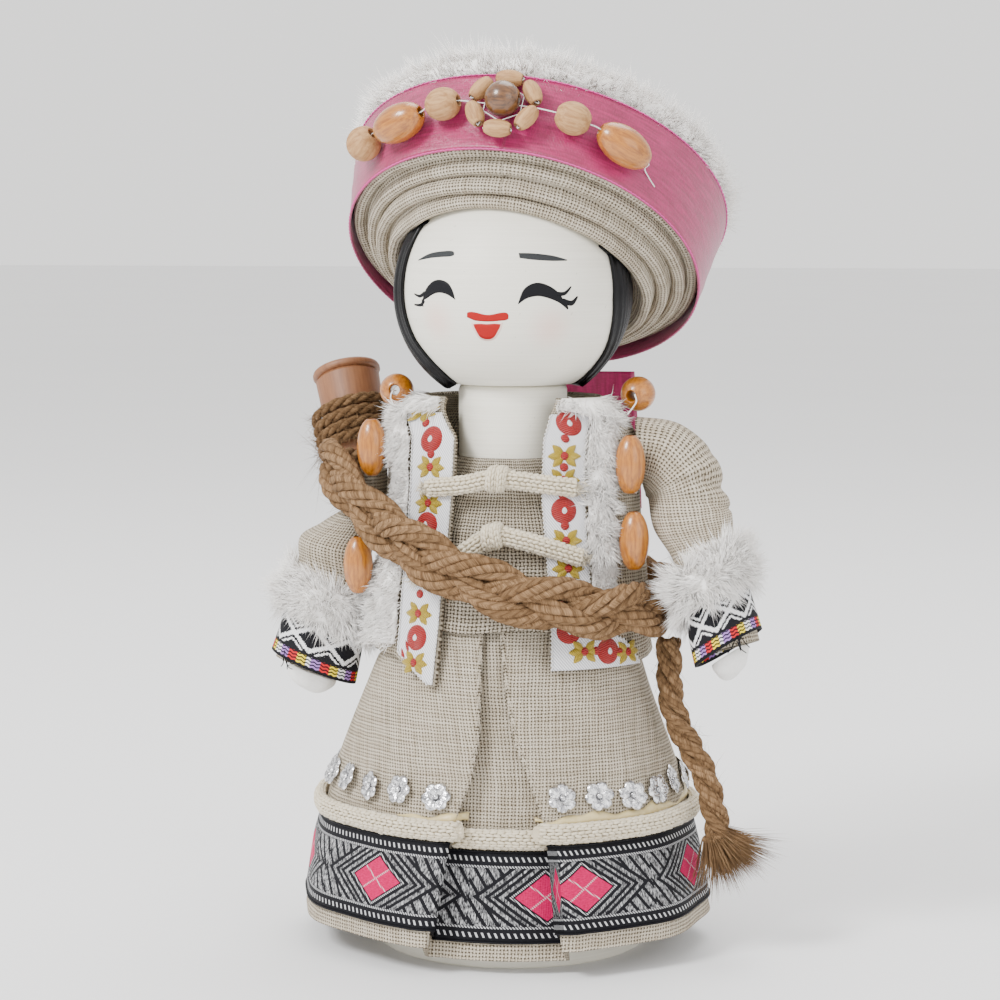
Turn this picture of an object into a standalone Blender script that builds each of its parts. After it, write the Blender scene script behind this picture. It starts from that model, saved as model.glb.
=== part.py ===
"""A costume doll of turned wood in folk dress, about 0.27 m tall.

Metres, +Z up. The doll faces -Y and its left-hand side in a front view is -X.
The origin is the centre of the wooden base's underside.
Angles round the doll and round the hat are in degrees, 0 in front and rising towards +X.
"""

import math

import bmesh
import bpy
import numpy as np
from mathutils import Matrix, Vector

# Clearance between pieces that touch, and cloth thicknesses
GAP = 0.0003
LINEN = 0.0010
THIN_LINEN = 0.0006
VEST_LINEN = 0.0012
RIBBON = 0.0005

# Turned body and head
BASE_RADIUS = 0.041
BASE_THICKNESS = 0.005
BODY_RADIUS = 0.026
NECK_RADIUS = 0.0163
BODY_SHOULDER_HEIGHT = 0.128
NECK_START_HEIGHT = 0.142
NECK_TOP_HEIGHT = 0.1687
HEAD_RADIUS = 0.0335
HEAD_FLAT_DEPTH = 0.0277
HEAD_UNDERSIDE_HEIGHT = NECK_TOP_HEIGHT + GAP
HEAD_CENTRE_HEIGHT = HEAD_UNDERSIDE_HEIGHT + HEAD_FLAT_DEPTH

# Hair
HAIR_THICKNESS = 0.0018
HAIR_GAP = 0.0008
HAIR_LEFT_ANGLE = 61
HAIR_RIGHT_ANGLE = 75
HAIR_BOTTOM_HEIGHT = HEAD_UNDERSIDE_HEIGHT + 0.0015

# Hat, leaning back and a little towards +X
HAT_CENTRE = (0.0007, 0.0129, HEAD_CENTRE_HEIGHT + 0.0100)
HAT_TILT = 34.6
HAT_ROLL_ANGLE = 5.7
HAT_RADIUS = 0.0533
HAT_HEIGHT = 0.0240
HAT_FLARE = 0.0036
HAT_LAYERS = 4
HAT_LAYER_WIDTH = 0.0042
HAT_LAYER_DROP = 0.0033
HAT_CROWN_RISE = 0.0015
HAT_RIBBON_DROP = 0.0045
HAT_FUR_WIDTH = 0.0126
HAT_FUR_HEIGHT = 0.0116
TAIL_WIDTH = 0.025
TAIL_ANGLE = 161
TAIL_LENGTH = 0.044

# Beads: length along the hole, width, hole
ROUND_BEAD = (0.0096, 0.0104, 0.0030)
OVAL_BEAD = (0.0168, 0.0110, 0.0026)
BARREL_BEAD = (0.0100, 0.0096, 0.0026)
PETAL_BEAD = (0.0078, 0.0052, 0.0016)
VEST_BEAD = (0.0168, 0.0088, 0.0020)
PETALS = 6
FLOWER_PLACE = (-1.3, 0.0124)
PETAL_RING_RADIUS = 0.0088

# Garments round the body: (height, half width, half depth) of each outside, from the bottom up
VEST_PROFILE = (
    (0.0820, 0.0432, 0.0368),
    (0.1000, 0.0412, 0.0322),
    (0.1200, 0.0400, 0.0280),
    (0.1400, 0.0385, 0.0245),
    (0.1540, 0.0375, 0.0220),
    (0.1610, 0.0337, 0.0205),
    (0.1655, 0.0262, 0.0190),
)
BODICE_PROFILE = (
    (0.0975, 0.0385, 0.0303),
    (0.1100, 0.0375, 0.0282),
    (0.1250, 0.0340, 0.0250),
    (0.1380, 0.0260, 0.0205),
    (0.1475, 0.0172, 0.0172),
)
SKIRT_PROFILE = (
    (0.0088, 0.0603, 0.0553),
    (0.0300, 0.0562, 0.0503),
    (0.0530, 0.0505, 0.0440),
    (0.0850, 0.0400, 0.0335),
    (0.1000, 0.0345, 0.0282),
)
SKIRT_LEFT_WIDTHS = ((0.0088, 0.0655), (0.0300, 0.0618), (0.0530, 0.0548), (0.0850, 0.0420), (0.1000, 0.0345))

# Front opening of the vest: (height, left angle, right angle)
VEST_OPENING = (
    (0.0800, -21.5, 27.0),
    (0.1080, -21.0, 24.5),
    (0.1250, -19.5, 22.0),
    (0.1380, -19.0, 20.5),
    (0.1540, -19.5, 21.2),
    (0.1610, -30.0, 26.5),
    (0.1655, -41.0, 38.5),
)
VEST_COLUMNS = 23
BODICE_COLUMNS = 18
VEST_HEM_LEFT = 0.0815
VEST_HEM_RIGHT = 0.0870
VEST_HEM_SIDES = 0.0890
LEFT_RIBBON_WIDTH = 0.0143
RIGHT_RIBBON_WIDTH = 0.0120
RIBBON_MITRE_HEIGHT = 0.0860
RIBBON_MITRE_SHARE = 0.5
VEST_RIBBON_GAP = 0.0008
HEM_RIBBON_END = ((0.0874, 70.0), (0.0900, 67.0), (0.0950, 60.0), (0.0967, 53.0), (0.0983, 46.0))
VEST_FUR_LEFT = ((0.0930, 0.0210), (0.1100, 0.0180), (0.1250, 0.0125), (0.1380, 0.0085), (0.1590, 0.0085))
VEST_FUR_RIGHT = ((0.1000, 0.0085), (0.1250, 0.0085), (0.1590, 0.0085))
VEST_FUR_THICKNESS = 0.0050
FUR_PRESSED = 0.0020
VEST_FUR_GAP = 0.0007

# Front closures of cotton cord
FROG_WIDTH = 0.0050
FROG_THICKNESS = 0.0030
FROG_KNOT_WIDTH = 0.0086
FROG_KNOT_LENGTH = 0.0080
FROG_UPPER = ((-31, 0.1390), (-12, 0.1405), (0, 0.1425), (10, 0.1420), (24, 0.1408), (36, 0.1398))
FROG_LOWER = (
    (-32, 0.1125),
    (-26, 0.1145),
    (-14, 0.1190),
    (0, 0.1258),
    (12, 0.1250),
    (26, 0.1222),
    (38, 0.1195),
)

# Skirt trimming
PLEAT_EDGES = (
    (0.0088, -10.7, 24.2),
    (0.0385, -8.5, 22.5),
    (0.0560, -1.8, 15.5),
    (0.0680, -0.3, 10.0),
    (0.0820, -1.3, 6.2),
    (0.1000, -3.0, 2.5),
)
PLEAT_DEPTH_BOTTOM = 0.0075
PLEAT_DEPTH_TOP = 0.0016
PLEAT_DROP = 0.0045
PLEAT_WALL_ANGLE = 2.0
ANGLE_ROUNDING = 0.001
PLEAT_COLUMNS = 3
SKIRT_COLUMNS = 29
SKIRT_UPPER_HEIGHTS = (0.0560, 0.0680, 0.0840, 0.1000)
SKIRT_FOLDS = 9
SKIRT_FOLD_DEPTH = 0.0008
SKIRT_RIBBON_BOTTOM = 0.0137
SKIRT_RIBBON_TOP = 0.0385
SKIRT_CORD_WIDTH = 0.0056
SKIRT_CORD_THICKNESS = 0.0032
SEQUIN_RADIUS = 0.0046
SEQUIN_HEIGHT = 0.0512
SEQUINS = 25

# Braided jute sash and its tail
SASH_WIDTH = 0.0170
SASH_THICKNESS = 0.0108
SASH_STRAND_RADIUS = 0.0036
SASH_TURNS = 13
SASH_STATIONS = 53
TAIL_ROPE_DIAMETER = 0.0080

# Cup tied behind the left shoulder
TUB_PLACE = (-0.0545, 0.0265, 0.1425)
TUB_LEAN_LEFT = 17
TUB_LEAN_BACK = 22
TUB_HEIGHT = 0.0310
TUB_RIM_RADIUS = 0.0108
TUB_FOOT_RADIUS = 0.0092
TUB_WALL = 0.0020
TUB_RIM_HEIGHT = 0.0026
TWINE_DIAMETER = 0.0034
TWINE_TURNS = 4.3
TWINE_START = 0.0020

# Arms
CUFF_BAND_THICKNESS = 0.0007
CUFF_FUR_THICKNESS = 0.0026
CUFF_FUR_LENGTH = 0.0130
CUFF_BAND_WIDTH = 0.0140
HAND_RADIUS = 0.0066


# Small tools


def material(name, colour, roughness, metallic=0.0):
    """One Principled material."""
    made = bpy.data.materials.new(name)
    made.use_nodes = True
    shader = made.node_tree.nodes["Principled BSDF"]
    shader.inputs["Base Color"].default_value = (*colour, 1.0)
    shader.inputs["Roughness"].default_value = roughness
    shader.inputs["Metallic"].default_value = metallic
    made.diffuse_color = (*colour, 1.0)
    return made


def add_object(name, points, faces, mat, smooth=True):
    """A mesh object from points and faces, with its faces turned outwards."""
    mesh = bpy.data.meshes.new(name)
    mesh.from_pydata([tuple(p) for p in points], [], faces)
    made = bpy.data.objects.new(name, mesh)
    bpy.context.scene.collection.objects.link(made)
    mesh.materials.append(mat)
    shape = bmesh.new()
    shape.from_mesh(mesh)
    bmesh.ops.recalc_face_normals(shape, faces=shape.faces)
    shape.to_mesh(mesh)
    shape.free()
    if smooth:
        mesh.shade_smooth()
        mesh.set_sharp_from_angle(angle=math.radians(45))
    return made


def blend_table(table, value):
    """The columns of a table, smoothly interpolated at one value of its first column."""
    rows = np.array(table)
    return [float(np.interp(value, rows[:, 0], rows[:, k])) for k in range(1, rows.shape[1])]


def unit(v):
    v = np.asarray(v, float)
    return v / np.linalg.norm(v)


def smooth_route(points, steps, closed=False):
    """Points read from a smooth curve (Catmull-Rom) through the given points."""
    p = [np.array(q, float) for q in points]
    count = len(p)
    spans = count if closed else count - 1
    out = []
    for i in range(steps if closed else steps + 1):
        at = i * spans / steps
        k = min(int(at), spans - 1)
        f = at - k
        a, b, c, d = (
            p[(k + j) % count] if closed else p[min(max(k + j, 0), count - 1)] for j in (-1, 0, 1, 2)
        )
        out.append(
            0.5 * (2 * b + (c - a) * f + (2 * a - 5 * b + 4 * c - d) * f**2 + (3 * b - a - 3 * c + d) * f**3)
        )
    return np.array(out)


def grid_faces(rows, sides, closed_rows):
    """The faces of a tube of points, ring after ring."""
    faces = []
    for i in range(rows if closed_rows else rows - 1):
        for j in range(sides):
            a = i * sides + j
            b = i * sides + (j + 1) % sides
            c = (i + 1) % rows * sides + (j + 1) % sides
            d = (i + 1) % rows * sides + j
            faces.append((a, b, c, d))
    return faces


def capped_tube(name, rings, mat, closed=False):
    """A solid through rings of points, its ends closed by fans, or joined to each other."""
    sides = len(rings[0])
    points = [p for ring in rings for p in ring]
    faces = grid_faces(len(rings), sides, closed)
    if not closed:
        for ring, first in ((rings[0], 0), (rings[-1], (len(rings) - 1) * sides)):
            points.append(np.mean(ring, axis=0))
            tip = len(points) - 1
            faces += [(first + j, first + (j + 1) % sides, tip) for j in range(sides)]
    return add_object(name, points, faces, mat)


def cloth_solid(name, inner, outer, mat, closed=False):
    """A cloth's thickness between two grids of points [column][row], both split along the same diagonals."""
    columns = len(inner)
    rows = len(inner[0])
    points = [p for column in inner for p in column] + [p for column in outer for p in column]
    shift = columns * rows
    faces = []
    for i in range(columns if closed else columns - 1):
        a = i * rows
        b = (i + 1) % columns * rows
        for k in range(rows - 1):
            for first in (0, shift):
                faces.append((first + a + k, first + a + k + 1, first + b + k + 1))
                faces.append((first + a + k, first + b + k + 1, first + b + k))
        for k in (0, rows - 1):
            faces.append((a + k, b + k, shift + b + k, shift + a + k))
    if not closed:
        for a in (0, (columns - 1) * rows):
            for k in range(rows - 1):
                faces.append((a + k, a + k + 1, shift + a + k + 1, shift + a + k))
    return add_object(name, points, faces, mat)


def ellipse_ring(centre, across, up, half_across, half_up, sides):
    """Points of an ellipse in the plane of two unit directions."""
    turns = [2 * math.pi * j / sides for j in range(sides)]
    return [
        np.array(centre)
        + np.array(across) * half_across * math.cos(t)
        + np.array(up) * half_up * math.sin(t)
        for t in turns
    ]


def turned(name, profile, mat, segments, place=(0, 0, 0), turn=None, ring=False):
    """A solid of revolution from (radius, height) points; ring=True closes the profile on itself."""
    turn = turn or Matrix.Identity(3)
    points = []
    index = []
    for radius, height in profile:
        if radius < 1e-9:
            index.append([len(points)])
            points.append(Vector(place) + turn @ Vector((0, 0, height)))
            continue
        index.append(list(range(len(points), len(points) + segments)))
        for j in range(segments):
            t = 2 * math.pi * j / segments
            local = Vector((radius * math.sin(t), -radius * math.cos(t), height))
            points.append(Vector(place) + turn @ local)
    faces = []
    for i in range(len(profile) if ring else len(profile) - 1):
        low, high = index[i], index[(i + 1) % len(profile)]
        for j in range(segments):
            k = (j + 1) % segments
            corners = [low[j % len(low)], low[k % len(low)], high[k % len(high)], high[j % len(high)]]
            faces.append(tuple(dict.fromkeys(corners)))
    return add_object(name, points, faces, mat)


# The garments' common surface


def garment_point(profile, angle, height, out=0.0):
    """A point on a garment, out from its surface along the horizontal normal."""
    a, b = blend_table(profile, height)
    t = math.radians(angle)
    surface = np.array((a * math.sin(t), -b * math.cos(t), height))
    return surface + garment_normal(profile, angle, height) * out


def garment_normal(profile, angle, height):
    a, b = blend_table(profile, height)
    t = math.radians(angle)
    return unit((math.sin(t) / a, -math.cos(t) / b, 0.0))


def skirt_share(height):
    """0 at the skirt's hem and 1 at its waist."""
    return (height - SKIRT_PROFILE[0][0]) / (SKIRT_PROFILE[-1][0] - SKIRT_PROFILE[0][0])


def in_pleat(angle, height):
    left, right = blend_table(PLEAT_EDGES, height)
    return left - ANGLE_ROUNDING <= angle <= right + ANGLE_ROUNDING


def pleat_inset(angle, height):
    """How far the skirt is folded in at a place: the box pleat in front, and soft folds elsewhere."""
    share = skirt_share(height)
    if in_pleat(angle, height):
        return PLEAT_DEPTH_BOTTOM + (PLEAT_DEPTH_TOP - PLEAT_DEPTH_BOTTOM) * share
    left, right = blend_table(PLEAT_EDGES, height)
    away = min(abs(angle - left), abs(angle - right))
    fold = SKIRT_FOLD_DEPTH * (1 - share) * min(1.0, away / 30)
    return fold * (1 - math.cos(math.radians(SKIRT_FOLDS * (angle - right))))


def skirt_point(angle, height, out=0.0):
    """A point on the skirt, which is wider on its left side and lower in the pleat."""
    spot = garment_point(SKIRT_PROFILE, angle, height, out - pleat_inset(angle, height))
    if angle < 0:
        right_width, _ = blend_table(SKIRT_PROFILE, height)
        left_width = blend_table(SKIRT_LEFT_WIDTHS, height)[0]
        spot[0] *= left_width / right_width
    if in_pleat(angle, height):
        spot[2] -= PLEAT_DROP * (1 - skirt_share(height))
    return spot


def turn_of(angle):
    """The same angle between -180 and 180."""
    return angle - 360 if angle > 180 else angle


def skirt_angles(height):
    """Angles round the skirt at a height, with a close pair at each edge of the pleat."""
    left, right = blend_table(PLEAT_EDGES, height)
    last = left + 360 - PLEAT_WALL_ANGLE
    first = right + PLEAT_WALL_ANGLE
    outer = [first + (last - first) * i / SKIRT_COLUMNS for i in range(SKIRT_COLUMNS + 1)]
    inner = [left + 360 + (right - left) * i / PLEAT_COLUMNS for i in range(PLEAT_COLUMNS + 1)]
    return [turn_of(t) for t in outer + inner]


def skirt_line(height, out):
    """Points round the skirt at a height, a parallel line at a distance outside its surface."""
    spots = [skirt_point(t, height) for t in skirt_angles(height)]
    count = len(spots)
    line = []
    for i in range(count):
        sides = []
        for a, b in ((spots[i - 1], spots[i]), (spots[i], spots[(i + 1) % count])):
            step = unit((b - a) * (1, 1, 0))
            sides.append(np.array((step[1], -step[0], 0.0)))
        middle = unit(sides[0] + sides[1])
        line.append(spots[i] + middle * out / max(0.5, float(np.dot(middle, sides[0]))))
    return line


def skirt_band(name, heights, inner, outer, mat):
    """A closed band that follows the skirt and its pleat, from inner to outer distance."""
    layers = []
    for out in (inner, outer):
        rows = [skirt_line(h, out) for h in heights]
        layers.append([[row[i] for row in rows] for i in range(len(rows[0]))])
    return cloth_solid(name, layers[0], layers[1], mat, closed=True)


# Body, head and hair


def make_body(mat):
    profile = (
        (0, 0),
        (BASE_RADIUS - 0.0008, 0),
        (BASE_RADIUS, 0.0008),
        (BASE_RADIUS, BASE_THICKNESS),
        (BASE_RADIUS - 0.006, BASE_THICKNESS + 0.003),
        (BODY_RADIUS + 0.004, 0.045),
        (BODY_RADIUS, 0.085),
        (BODY_RADIUS - 0.004, BODY_SHOULDER_HEIGHT - 0.006),
        (NECK_RADIUS + 0.0012, NECK_START_HEIGHT - 0.003),
        (NECK_RADIUS, NECK_START_HEIGHT),
        (NECK_RADIUS, NECK_TOP_HEIGHT - 0.0015),
        (NECK_RADIUS - 0.0012, NECK_TOP_HEIGHT),
        (0, NECK_TOP_HEIGHT),
    )
    return turned("body", profile, mat, 20)


def make_head(mat):
    start = math.asin(-HEAD_FLAT_DEPTH / HEAD_RADIUS)
    flat = HEAD_RADIUS * math.cos(start)
    steps = 10
    profile = [(0, HEAD_UNDERSIDE_HEIGHT), (flat, HEAD_UNDERSIDE_HEIGHT)]
    for i in range(1, steps):
        t = start + (math.pi / 2 - start) * i / steps
        profile.append((HEAD_RADIUS * math.cos(t), HEAD_CENTRE_HEIGHT + HEAD_RADIUS * math.sin(t)))
    profile.append((0, HEAD_CENTRE_HEIGHT + HEAD_RADIUS))
    return turned("head", profile, mat, 24)


def make_hair(mat):
    """A shell round the back of the ball, from just below the hat down to the nape."""
    normal, _, _ = hat_axes()
    drop = HAT_LAYERS * HAT_LAYER_DROP - HAT_LAYER_DROP + 2 * GAP
    columns = 14
    rows = 6
    inner = []
    outer = []
    for i in range(columns + 1):
        span = 360 - HAIR_LEFT_ANGLE - HAIR_RIGHT_ANGLE
        angle = math.radians(HAIR_RIGHT_ANGLE + span * i / columns)
        side = np.array((math.sin(angle), -math.cos(angle), 0.0))
        low = math.asin((HAIR_BOTTOM_HEIGHT - HEAD_CENTRE_HEIGHT) / HEAD_RADIUS)
        high = low
        while high < 1.2:
            spot = ball_point(side, high + 0.01, HEAD_RADIUS + HAIR_THICKNESS + HAIR_GAP)
            if np.dot(spot - np.array(HAT_CENTRE), normal) > -drop:
                break
            high += 0.01
        turns = [low + (high - low) * k / rows for k in range(rows + 1)]
        inner.append([ball_point(side, t, HEAD_RADIUS + HAIR_GAP) for t in turns])
        outer.append([ball_point(side, t, HEAD_RADIUS + HAIR_GAP + HAIR_THICKNESS) for t in turns])
    return cloth_solid("hair", inner, outer, mat)


def ball_point(side, rise, radius):
    """A point round the head's centre, in the direction side, raised by an angle."""
    up = np.array((0.0, 0.0, 1.0))
    return np.array((0, 0, HEAD_CENTRE_HEIGHT)) + radius * (side * math.cos(rise) + up * math.sin(rise))


# Hat


def hat_axes():
    """The hat's axis, its front direction and its side direction (towards +X)."""
    t = math.radians(HAT_TILT)
    r = math.radians(HAT_ROLL_ANGLE)
    normal = unit((math.sin(r) * math.cos(t), math.sin(t), math.cos(t) * math.cos(r)))
    front = unit(np.array((0, -1.0, 0)) + normal[1] * normal)
    return normal, front, np.cross(normal, front)


def hat_matrix():
    """Turns the frame of a turned profile into the hat's frame."""
    normal, front, side = hat_axes()
    return Matrix((side, -front, normal)).transposed()


def hat_point(angle, radius, height):
    normal, front, side = hat_axes()
    t = math.radians(angle)
    spot = front * radius * math.cos(t) + side * radius * math.sin(t)
    return np.array(HAT_CENTRE) + spot + normal * height


def hat_wall(height):
    """Outside radius of the linen roll at a height."""
    return HAT_RADIUS + HAT_FLARE * height / HAT_HEIGHT


def make_hat_roll(mat):
    """Layers of a rolled strip, each lower than the one outside it, hollowed for the head."""
    profile = []
    for i in range(HAT_LAYERS):
        outer = HAT_RADIUS - i * HAT_LAYER_WIDTH
        inner = outer - HAT_LAYER_WIDTH
        low = -i * HAT_LAYER_DROP
        profile += [(outer, low + 0.0010), (outer - 0.0009, low), (inner + 0.0004, low)]
    lowest = -(HAT_LAYERS - 1) * HAT_LAYER_DROP
    profile.append((0, lowest))
    top = [(hat_wall(HAT_HEIGHT), HAT_HEIGHT - 0.0008), (hat_wall(HAT_HEIGHT) - 0.0008, HAT_HEIGHT)]
    top += [(HAT_RADIUS - 0.018, HAT_HEIGHT - 0.0010), (HAT_RADIUS - 0.030, HAT_HEIGHT + 0.0005)]
    top.append((0, HAT_HEIGHT + HAT_CROWN_RISE))
    outline = list(reversed(profile)) + top
    roll = turned("hat_roll", outline, mat, 24, HAT_CENTRE, hat_matrix())
    bpy.ops.mesh.primitive_uv_sphere_add(
        segments=16, ring_count=10, radius=HEAD_RADIUS + 5 * GAP, location=(0, 0, HEAD_CENTRE_HEIGHT)
    )
    cutter = bpy.context.object
    cutter.name = "head_hollow"
    cutter.hide_render = True
    cutter.display_type = "WIRE"
    cut = roll.modifiers.new("head hollow", "BOOLEAN")
    cut.operation = "DIFFERENCE"
    cut.solver = "EXACT"
    cut.object = cutter
    return roll


def make_hat_ribbon(mat):
    """A satin band round the roll, hanging a little below it at the back."""
    rings = []
    steps = 26
    for i in range(steps):
        angle = 360 * i / steps
        low = -0.0002 - HAT_RIBBON_DROP * (1 - math.cos(math.radians(angle))) / 2
        ring = []
        for height, out in ((low, 0.0), (HAT_HEIGHT, 0.0), (HAT_HEIGHT, RIBBON), (low, RIBBON)):
            ring.append(hat_point(angle, hat_wall(height) + 2 * GAP + out, height))
        rings.append(ring)
    return capped_tube("hat_ribbon", rings, mat, closed=True)


def make_hat_tail(mat):
    """The ribbon's end, hanging from the back of the hat."""
    top = hat_point(TAIL_ANGLE, HAT_RADIUS + 0.0022, -HAT_RIBBON_DROP - 0.0022)
    across = unit((0.94, -0.34, 0.0))
    rings = []
    steps = 6
    for i in range(steps + 1):
        share = i / steps
        sway = 0.0018 * math.sin(math.pi * share)
        centre = top + np.array((0.002 * share, 0.003 * share + sway, -TAIL_LENGTH * share))
        out = np.cross(across, (0, 0, 1.0)) * -1
        half = TAIL_WIDTH / 2
        rings.append(
            [
                centre - across * half,
                centre + across * half,
                centre + across * half + out * RIBBON,
                centre - across * half + out * RIBBON,
            ]
        )
    return capped_tube("hat_ribbon_tail", rings, mat)


def make_hat_fur(mat):
    middle = HAT_HEIGHT + HAT_FUR_HEIGHT / 2 + 2 * GAP
    radius = hat_wall(HAT_HEIGHT) - 0.0048
    profile = []
    sides = 6
    for i in range(sides):
        t = 2 * math.pi * (i + 0.5) / sides
        profile.append(
            (radius + HAT_FUR_WIDTH / 2 * math.cos(t), middle + HAT_FUR_HEIGHT / 2 * math.sin(t))
        )
    return turned("hat_fur", profile, mat, 26, HAT_CENTRE, hat_matrix(), ring=True)


# Beads


def make_bead(name, size, place, axis, mat, segments=8, steps=3):
    """A turned bead with a through hole along its axis."""
    length, width, hole = size
    ends = math.acos(min(1.0, (hole + 0.0012) / width))
    profile = []
    for i in range(steps + 1):
        t = -ends + 2 * ends * i / steps
        profile.append((width / 2 * math.cos(t), length / 2 * math.sin(t) / math.sin(ends)))
    profile += [(hole / 2, length / 2), (hole / 2, -length / 2)]
    turn = Vector((0, 0, 1)).rotation_difference(Vector(axis)).to_matrix()
    return turned(name, profile, mat, segments, place, turn, ring=True)


def hat_bead(name, size, angle, height, slope, mat):
    """A bead on the hat's ribbon, its hole along the ribbon with a slope in degrees."""
    normal, front, side = hat_axes()
    t = math.radians(angle)
    along = side * math.cos(t) - front * math.sin(t)
    s = math.radians(slope)
    axis = unit(along * math.cos(s) + normal * math.sin(s))
    out = hat_wall(height) + RIBBON + 2 * GAP + size[1] / 2
    return make_bead(name, size, hat_point(angle, out, height), axis, mat)


def make_hat_beads(amber, pale, brown):
    hat_bead("hat_bead_round_left", ROUND_BEAD, -48.4, 0.0073, 20, pale)
    hat_bead("hat_bead_oval_left", OVAL_BEAD, -32.6, 0.0080, 10, amber)
    hat_bead("hat_bead_barrel_left", BARREL_BEAD, -18.7, 0.0117, 6, pale)
    hat_bead("hat_bead_barrel_right", BARREL_BEAD, 18.3, 0.0109, -4, pale)
    hat_bead("hat_bead_oval_right", OVAL_BEAD, 33.7, 0.0080, -12, amber)
    normal, front, side = hat_axes()
    angle, height = FLOWER_PLACE
    facing = unit(hat_point(angle, 1, 0) - np.array(HAT_CENTRE))
    along = unit(np.cross(normal, facing))
    surface = hat_wall(height) + RIBBON + 2 * GAP
    centre = hat_point(angle, surface + ROUND_BEAD[1] / 2 + 0.0006, height)
    make_bead("flower_bead_centre", ROUND_BEAD, centre, along, brown)
    ring_centre = hat_point(angle, surface + PETAL_BEAD[1] / 2 + 0.0010, height)
    for i in range(PETALS):
        t = 2 * math.pi * (i + 0.5) / PETALS
        spot = ring_centre + PETAL_RING_RADIUS * (along * math.cos(t) + normal * math.sin(t))
        tangent = unit(normal * math.cos(t) - along * math.sin(t))
        make_bead(f"flower_petal_{i + 1}", PETAL_BEAD, spot, tangent, pale, segments=6, steps=2)


def make_vest_beads(amber):
    height = VEST_PROFILE[-1][0] + 0.0007
    make_bead("shoulder_bead_left", ROUND_BEAD, (-0.0358, -0.0010, height), (0.1, -1, 0.1), amber)
    make_bead("shoulder_bead_right", ROUND_BEAD, (0.0383, -0.0010, height), (-0.3, -1, -0.1), amber)
    places = {
        "vest_bead_left_upper": (-0.0398, -0.0155, 0.1500),
        "vest_bead_left_lower": (-0.0432, -0.0190, 0.1150),
        "vest_bead_right_upper": (0.0388, -0.0165, 0.1465),
        "vest_bead_right_lower": (0.0404, -0.0185, 0.1243),
    }
    for name, place in places.items():
        make_bead(name, VEST_BEAD, place, (0, 0, 1), amber)


# Bodice, vest and skirt


def make_bodice(mat):
    angles = [360 * i / BODICE_COLUMNS for i in range(BODICE_COLUMNS)]
    layers = []
    for out in (-THIN_LINEN, 0.0):
        layers.append([[garment_point(BODICE_PROFILE, t, row[0], out) for row in BODICE_PROFILE] for t in angles])
    return cloth_solid("bodice", layers[0], layers[1], mat, closed=True)


def make_skirt(mat):
    heights = [SKIRT_PROFILE[0][0], SKIRT_RIBBON_BOTTOM, SKIRT_RIBBON_TOP]
    heights += [SKIRT_RIBBON_TOP + 2 * GAP + SKIRT_CORD_WIDTH, *SKIRT_UPPER_HEIGHTS]
    return skirt_band("skirt", heights, -LINEN, 0.0, mat)


def vest_hem(angle):
    """Height of the vest's lower edge: mitred at the left front corner, level elsewhere."""
    if angle > 0:
        share = min(1.0, max(0.0, (angle - 60) / 40))
        return VEST_HEM_RIGHT + (VEST_HEM_SIDES - VEST_HEM_RIGHT) * share
    share = min(1.0, max(0.0, (-angle - 21.5) / 25))
    return VEST_HEM_LEFT + (VEST_HEM_SIDES - VEST_HEM_LEFT) * share


def make_vest(mat):
    """The vest's shell, round the back from one front edge to the other."""
    inner = []
    outer = []
    for i in range(VEST_COLUMNS + 1):
        inner.append([])
        outer.append([])
        for level in [0.0] + [row[0] for row in VEST_PROFILE[1:]]:
            left, right = blend_table(VEST_OPENING, level or VEST_HEM_SIDES)
            angle = right + (left + 360 - right) * i / VEST_COLUMNS
            height = level or vest_hem(turn_of(angle))
            slope = vest_slope(height)
            normal = garment_normal(VEST_PROFILE, angle, height) * math.cos(slope)
            normal = normal + np.array((0, 0, math.sin(slope)))
            outer[-1].append(garment_point(VEST_PROFILE, angle, height))
            inner[-1].append(outer[-1][-1] - normal * VEST_LINEN)
    return cloth_solid("vest", inner, outer, mat)


def vest_slope(height):
    """How far the vest's outside leans back at a height, in radians."""
    step = 0.002
    lower = blend_table(VEST_PROFILE, height - step)
    upper = blend_table(VEST_PROFILE, height + step)
    return math.atan2((lower[0] - upper[0] + lower[1] - upper[1]) / 2, 2 * step) * 0.9


def angle_step(height, width):
    """The angle that a width takes on the vest's front at a height."""
    a, b = blend_table(VEST_PROFILE, height)
    return math.degrees(width / math.hypot(a * math.cos(0.6), b * math.sin(0.6)))


def strip(name, rows, thickness, mat, across):
    """A thin band on the vest from rows of (height, first angle, last angle), lowest row first."""
    rings = []
    for height, first, last in rows:
        turns = [first + (last - first) * j / (across - 1) for j in range(across)]
        ring = [garment_point(VEST_PROFILE, t, height, VEST_RIBBON_GAP) for t in turns]
        ring += [garment_point(VEST_PROFILE, t, height, VEST_RIBBON_GAP + thickness) for t in reversed(turns)]
        rings.append(ring)
    return capped_tube(name, rings, mat)


def make_vest_ribbons(mat):
    heights = [0.0905, 0.1000, 0.1080, 0.1250, 0.1380, 0.1400, 0.1540, 0.1610]
    left_rows = []
    right_rows = []
    for height in heights:
        left, right = blend_table(VEST_OPENING, height)
        left_rows.append((height, left - angle_step(height, LEFT_RIBBON_WIDTH), left - 0.5))
        right_rows.append((height, right + 0.5, right + angle_step(height, RIGHT_RIBBON_WIDTH)))
    left, _ = blend_table(VEST_OPENING, VEST_HEM_LEFT)
    wide = angle_step(RIBBON_MITRE_HEIGHT, LEFT_RIBBON_WIDTH * RIBBON_MITRE_SHARE)
    left_rows.insert(0, (RIBBON_MITRE_HEIGHT, left - wide, left - 0.5))
    left_rows.insert(0, (VEST_HEM_LEFT + 0.0008, left - 2.0, left - 0.5))
    strip("vest_ribbon_left", left_rows, RIBBON, mat, 5)
    inner_edge = right_rows[0][1]
    corner = [(height, inner_edge, last) for height, last in HEM_RIBBON_END]
    strip("vest_ribbon_right", corner + right_rows[1:], RIBBON, mat, 6)


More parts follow.
